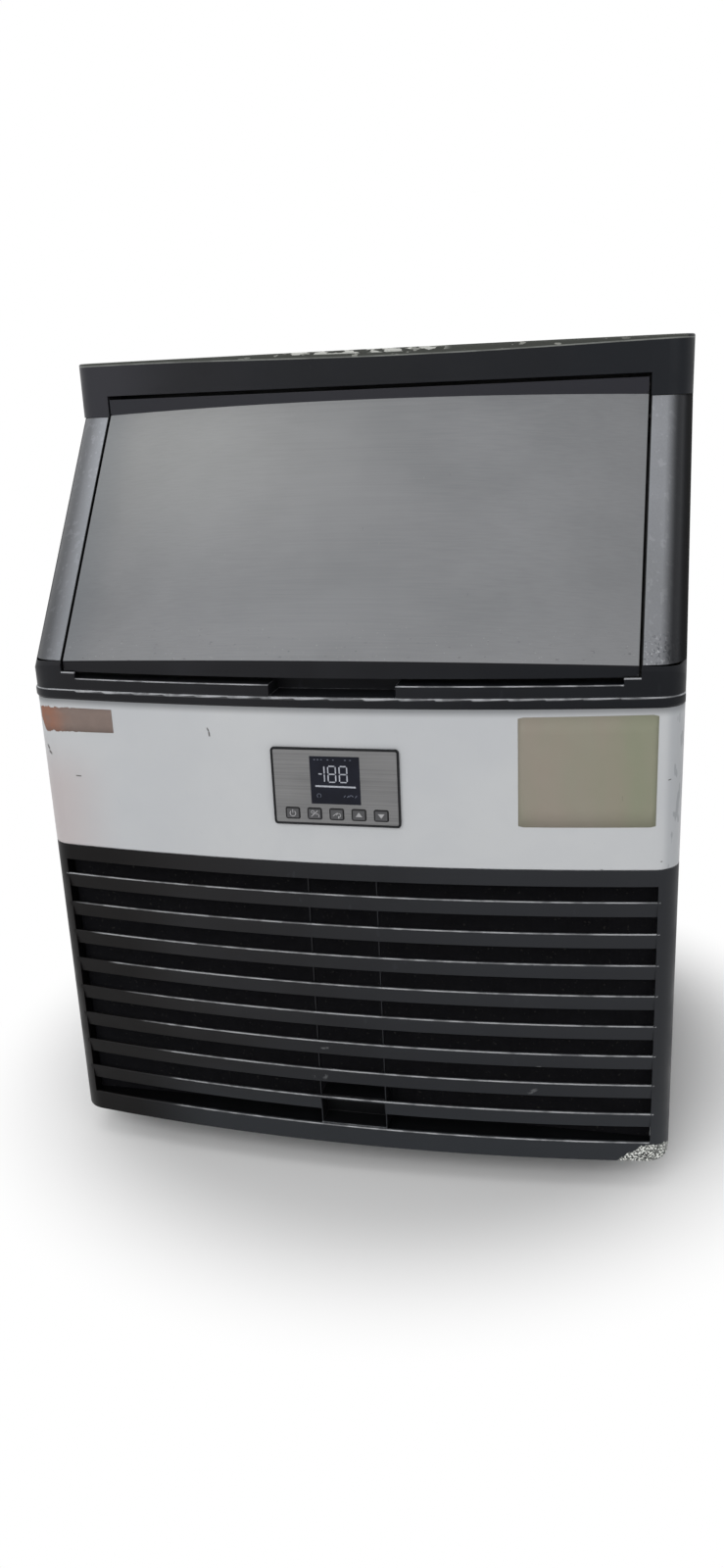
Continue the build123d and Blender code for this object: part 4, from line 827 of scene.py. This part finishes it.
def lit_figures(left, top):
    """A dash, a one and two eights, from the window's upper left corner."""
    line = 1.2 * MM
    tall, wide = 17.5 * MM, 8.8 * MM
    foot = top - 26.8 * MM
    shapes = [bar(left + 10.2 * MM, foot + tall / 2, 3.8 * MM, line)]
    for level in (tall * 0.26, tall * 0.74):
        shapes.append(bar(left + 14.4 * MM, foot + level, tall * 0.45, line, True))
    shapes += digit_eight(left + 17.6 * MM, foot, wide, tall, line)
    return shapes + digit_eight(left + 29.0 * MM, foot, wide, tall, line)


def faint_symbols(left, top):
    """Unlit symbols under the line, and short dashes along the window's top."""
    row = top - 40.5 * MM
    small = [arc_band(left + 8.0 * MM, row, 2.0 * MM, 0.6 * MM, -60, 240)]
    for x in (33.0, 36.5, 44.5):
        small.append(stroke(left + x * MM, row - 1.2 * MM, left + (x + 1.8) * MM, row + 0.9 * MM, 0.6 * MM))
    small.append(arc_band(left + 40.5 * MM, row - 0.6 * MM, 1.7 * MM, 0.6 * MM, 0, 180))
    for x in (5.0, 8.5, 12.0, 18.5, 24.0, 36.0, 41.0):
        small.append(bar(left + x * MM, top - 3.4 * MM, 2.0 * MM, 0.8 * MM))
    return small


def key_symbols():
    """Outlines of the five key symbols about a key's centre, in millimetres."""
    power = [arc_band(0, -0.3, 2.9, 0.75, 125, 415), stroke(0, 0.3, 0, 4.0, 0.8)]
    mode = [stroke(-3.6, -3.0, 3.2, 3.2, 0.8), arc_band(-1.9, 1.9, 1.5, 0.6, 0, 360),
            arc_band(2.4, -2.2, 2.0, 0.6, -40, 130)]
    settings = [stroke(-3.8, -1.6, 1.0, 1.8, 0.8), arc_band(2.0, -0.8, 2.0, 0.7, -60, 180),
                stroke(2.0, -4.0, 2.0, -1.6, 1.1)]
    up = [[(-3.4, -1.8), (3.4, -1.8), (0, 2.9)]]
    down = [[(-3.4, 2.0), (0, -2.7), (3.4, 2.0)]]
    return {"key_power": power, "key_mode": mode, "key_set": settings, "key_up": up, "key_down": down}


def make_key_symbols(material):
    """Printed symbols on the keys."""
    for key, outlines in key_symbols().items():
        low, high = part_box(key)
        x, z = (low.x + high.x) / 2, (low.z + high.z) / 2
        placed = [[(x + a * MM, z + b * MM) for a, b in outline] for outline in outlines]
        proud, depth = 0.04 * MM, 0.12 * MM
        mesh = prisms(placed, low.y - proud, depth)
        link_mesh(key + "_symbol", *mesh, material, key, "white_plastic")


class Surface:
    """Finds where a front face of a node lies, seen from straight ahead."""

    def __init__(self, node):
        mesh = NODES[node].data
        self.tree = BVHTree.FromPolygons([v.co for v in mesh.vertices], [p.vertices for p in mesh.polygons])

    def at(self, x, z, lift):
        """The point of the face at x, z, moved out along its normal by lift."""
        spot, normal, _, _ = self.tree.ray_cast((x, -1.0, z), (0.0, 1.0, 0.0))
        if normal.y > 0:
            normal = -normal
        return spot + normal * lift


def sticker(name, node, columns, rows, thick, material, slot, body="cabinet"):
    """Thin sheet that follows a node's front. Each column is (x, lowest z, highest z)."""
    face = Surface(node)
    sunk = -0.05 * MM
    points = []
    for lift in (thick, sunk):
        for x, bottom, top in columns:
            for i in range(rows + 1):
                points.append(face.at(x, bottom + (top - bottom) * i / rows, lift))
    step = rows + 1
    count = len(columns)
    back = step * count
    faces = []
    for c in range(count - 1):
        for r in range(rows):
            a = c * step + r
            faces.append((a, a + step, a + step + 1, a + 1))
            faces.append((back + a + 1, back + a + step + 1, back + a + step, back + a))
    for c in range(count - 1):
        a, b = c * step, c * step + rows
        faces.append((a, back + a, back + a + step, a + step))
        faces.append((b, b + step, back + b + step, back + b))
    for r in range(rows):
        a, b = r, (count - 1) * step + r
        faces.append((a, a + 1, back + a + 1, back + a))
        faces.append((b, back + b, back + b + 1, b + 1))
    return link_mesh(name, points, faces, material, body, slot, True)


def label_material():
    """Faded paper of the blank label on the right."""
    f = Finish("label_paper", "8f8b7e", 0.6, 0.0, 0.3)
    f.tint(f.times(f.stroke(0.2752, 0.4348, 0.006, 0.0011, 95.0), 0.9), "3b3a30")
    f.tint(f.times(f.along(0, 0.235, 0.290), 0.75), "858973")
    f.tint(f.times(f.along(0, 0.192, 0.178), 0.5), "85887a")
    f.drift("96887f", 0.05, 0.4, (1, 1, 3), seed=3.0)
    f.drift("858873", 0.06, 0.3, (1, 1, 3), seed=8.0)
    f.marks("6f6a5e", 0.0025, 0.77, 0.8, (1, 1, 2), seed=2.0)
    f.uneven(0.5, 0.7, 0.02)
    f.grain(0.0015, 0.00004)
    return f.done()


def tag_material():
    """Brown residue of the torn tag on the left."""
    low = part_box("front_panel")[0]
    f = Finish("tag_paper", "80716a", 0.7, 0.0, 0.3)
    f.tint(f.times(f.along(0, low.x + 0.050, low.x + 0.012), 0.8), "97644d")
    f.drift("7a6c66", 0.012, 0.5, seed=3.0)
    f.uneven(0.6, 0.8, 0.01)
    f.grain(0.001, 0.00005)
    return f.done()


def on_panel(edges):
    """A sticker's edges, with its heights counted from the front panel's foot."""
    left, right, low, high = edges
    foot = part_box("front_panel")[0].z
    return left, right, foot + low, foot + high


def make_label():
    """The blank label on the right, with slightly rounded corners."""
    left, right, low, high = on_panel(LABEL_RIGHT)
    corner = 1.2 * MM
    count = 26
    columns = []
    for i in range(count + 1):
        share = i / count
        x = left + (right - left) * share
        inset = max(0.0, corner - min(x - left, right - x))
        cut = corner - math.sqrt(max(0.0, corner**2 - inset**2))
        columns.append((x, low + cut, high + 1.4 * MM * share - cut))
    sticker("label_right", "front_panel", columns, 6, 0.25 * MM, label_material(), "white_plastic")


def make_tag():
    """The tag on the left, torn along two thirds of its edges and at its lower left corner."""
    random.seed(7)
    left, right, low, high = on_panel(TAG_LEFT)
    count = 56
    torn_share = 0.66
    columns = []
    bottom, top = 0.0, 0.0
    for i in range(count + 1):
        share = i / count
        x = left + (right - left) * share
        ragged = max(0.0, torn_share - share) / torn_share
        bottom += (random.uniform(-1, 1) * 2.0 * MM * ragged - bottom) * 0.8
        top += (random.uniform(-1, 1) * 2.2 * MM * ragged - top) * 0.8
        torn = 14.0 * MM * max(0.0, 1.0 - (x - left) / (9.0 * MM))**2
        columns.append((x, low + bottom + torn + 1.8 * MM * share, high + top))
    sticker("tag_left", "front_panel", columns, 3, 0.2 * MM, tag_material(), "white_plastic")


def simple(name, colour, pale, rough):
    """Printed ink or light of a small symbol."""
    f = Finish(name, colour, rough, 0.0, 0.3)
    f.drift(pale, 0.004, 0.6, seed=1.0)
    f.uneven(rough - 0.05, rough + 0.1, 0.003)
    f.grain(0.0008, 0.00001)
    return f.done()


make_camera()
make_world(WORLD_LIGHT)
make_floor(FLOOR_REACH)
for lamp_values in LAMPS:
    area_lamp(*lamp_values)
bpy.context.scene.view_settings.view_transform = "Standard"
dress(make_finishes())
make_screen(simple("lit_figures", "b4b7c0", "9c9fa9", 0.5), simple("dim_figures", "6a6f7d", "4a4f5c", 0.5))
make_key_symbols(simple("key_ink", "aeaeb0", "909092", 0.5))
make_label()
make_tag()
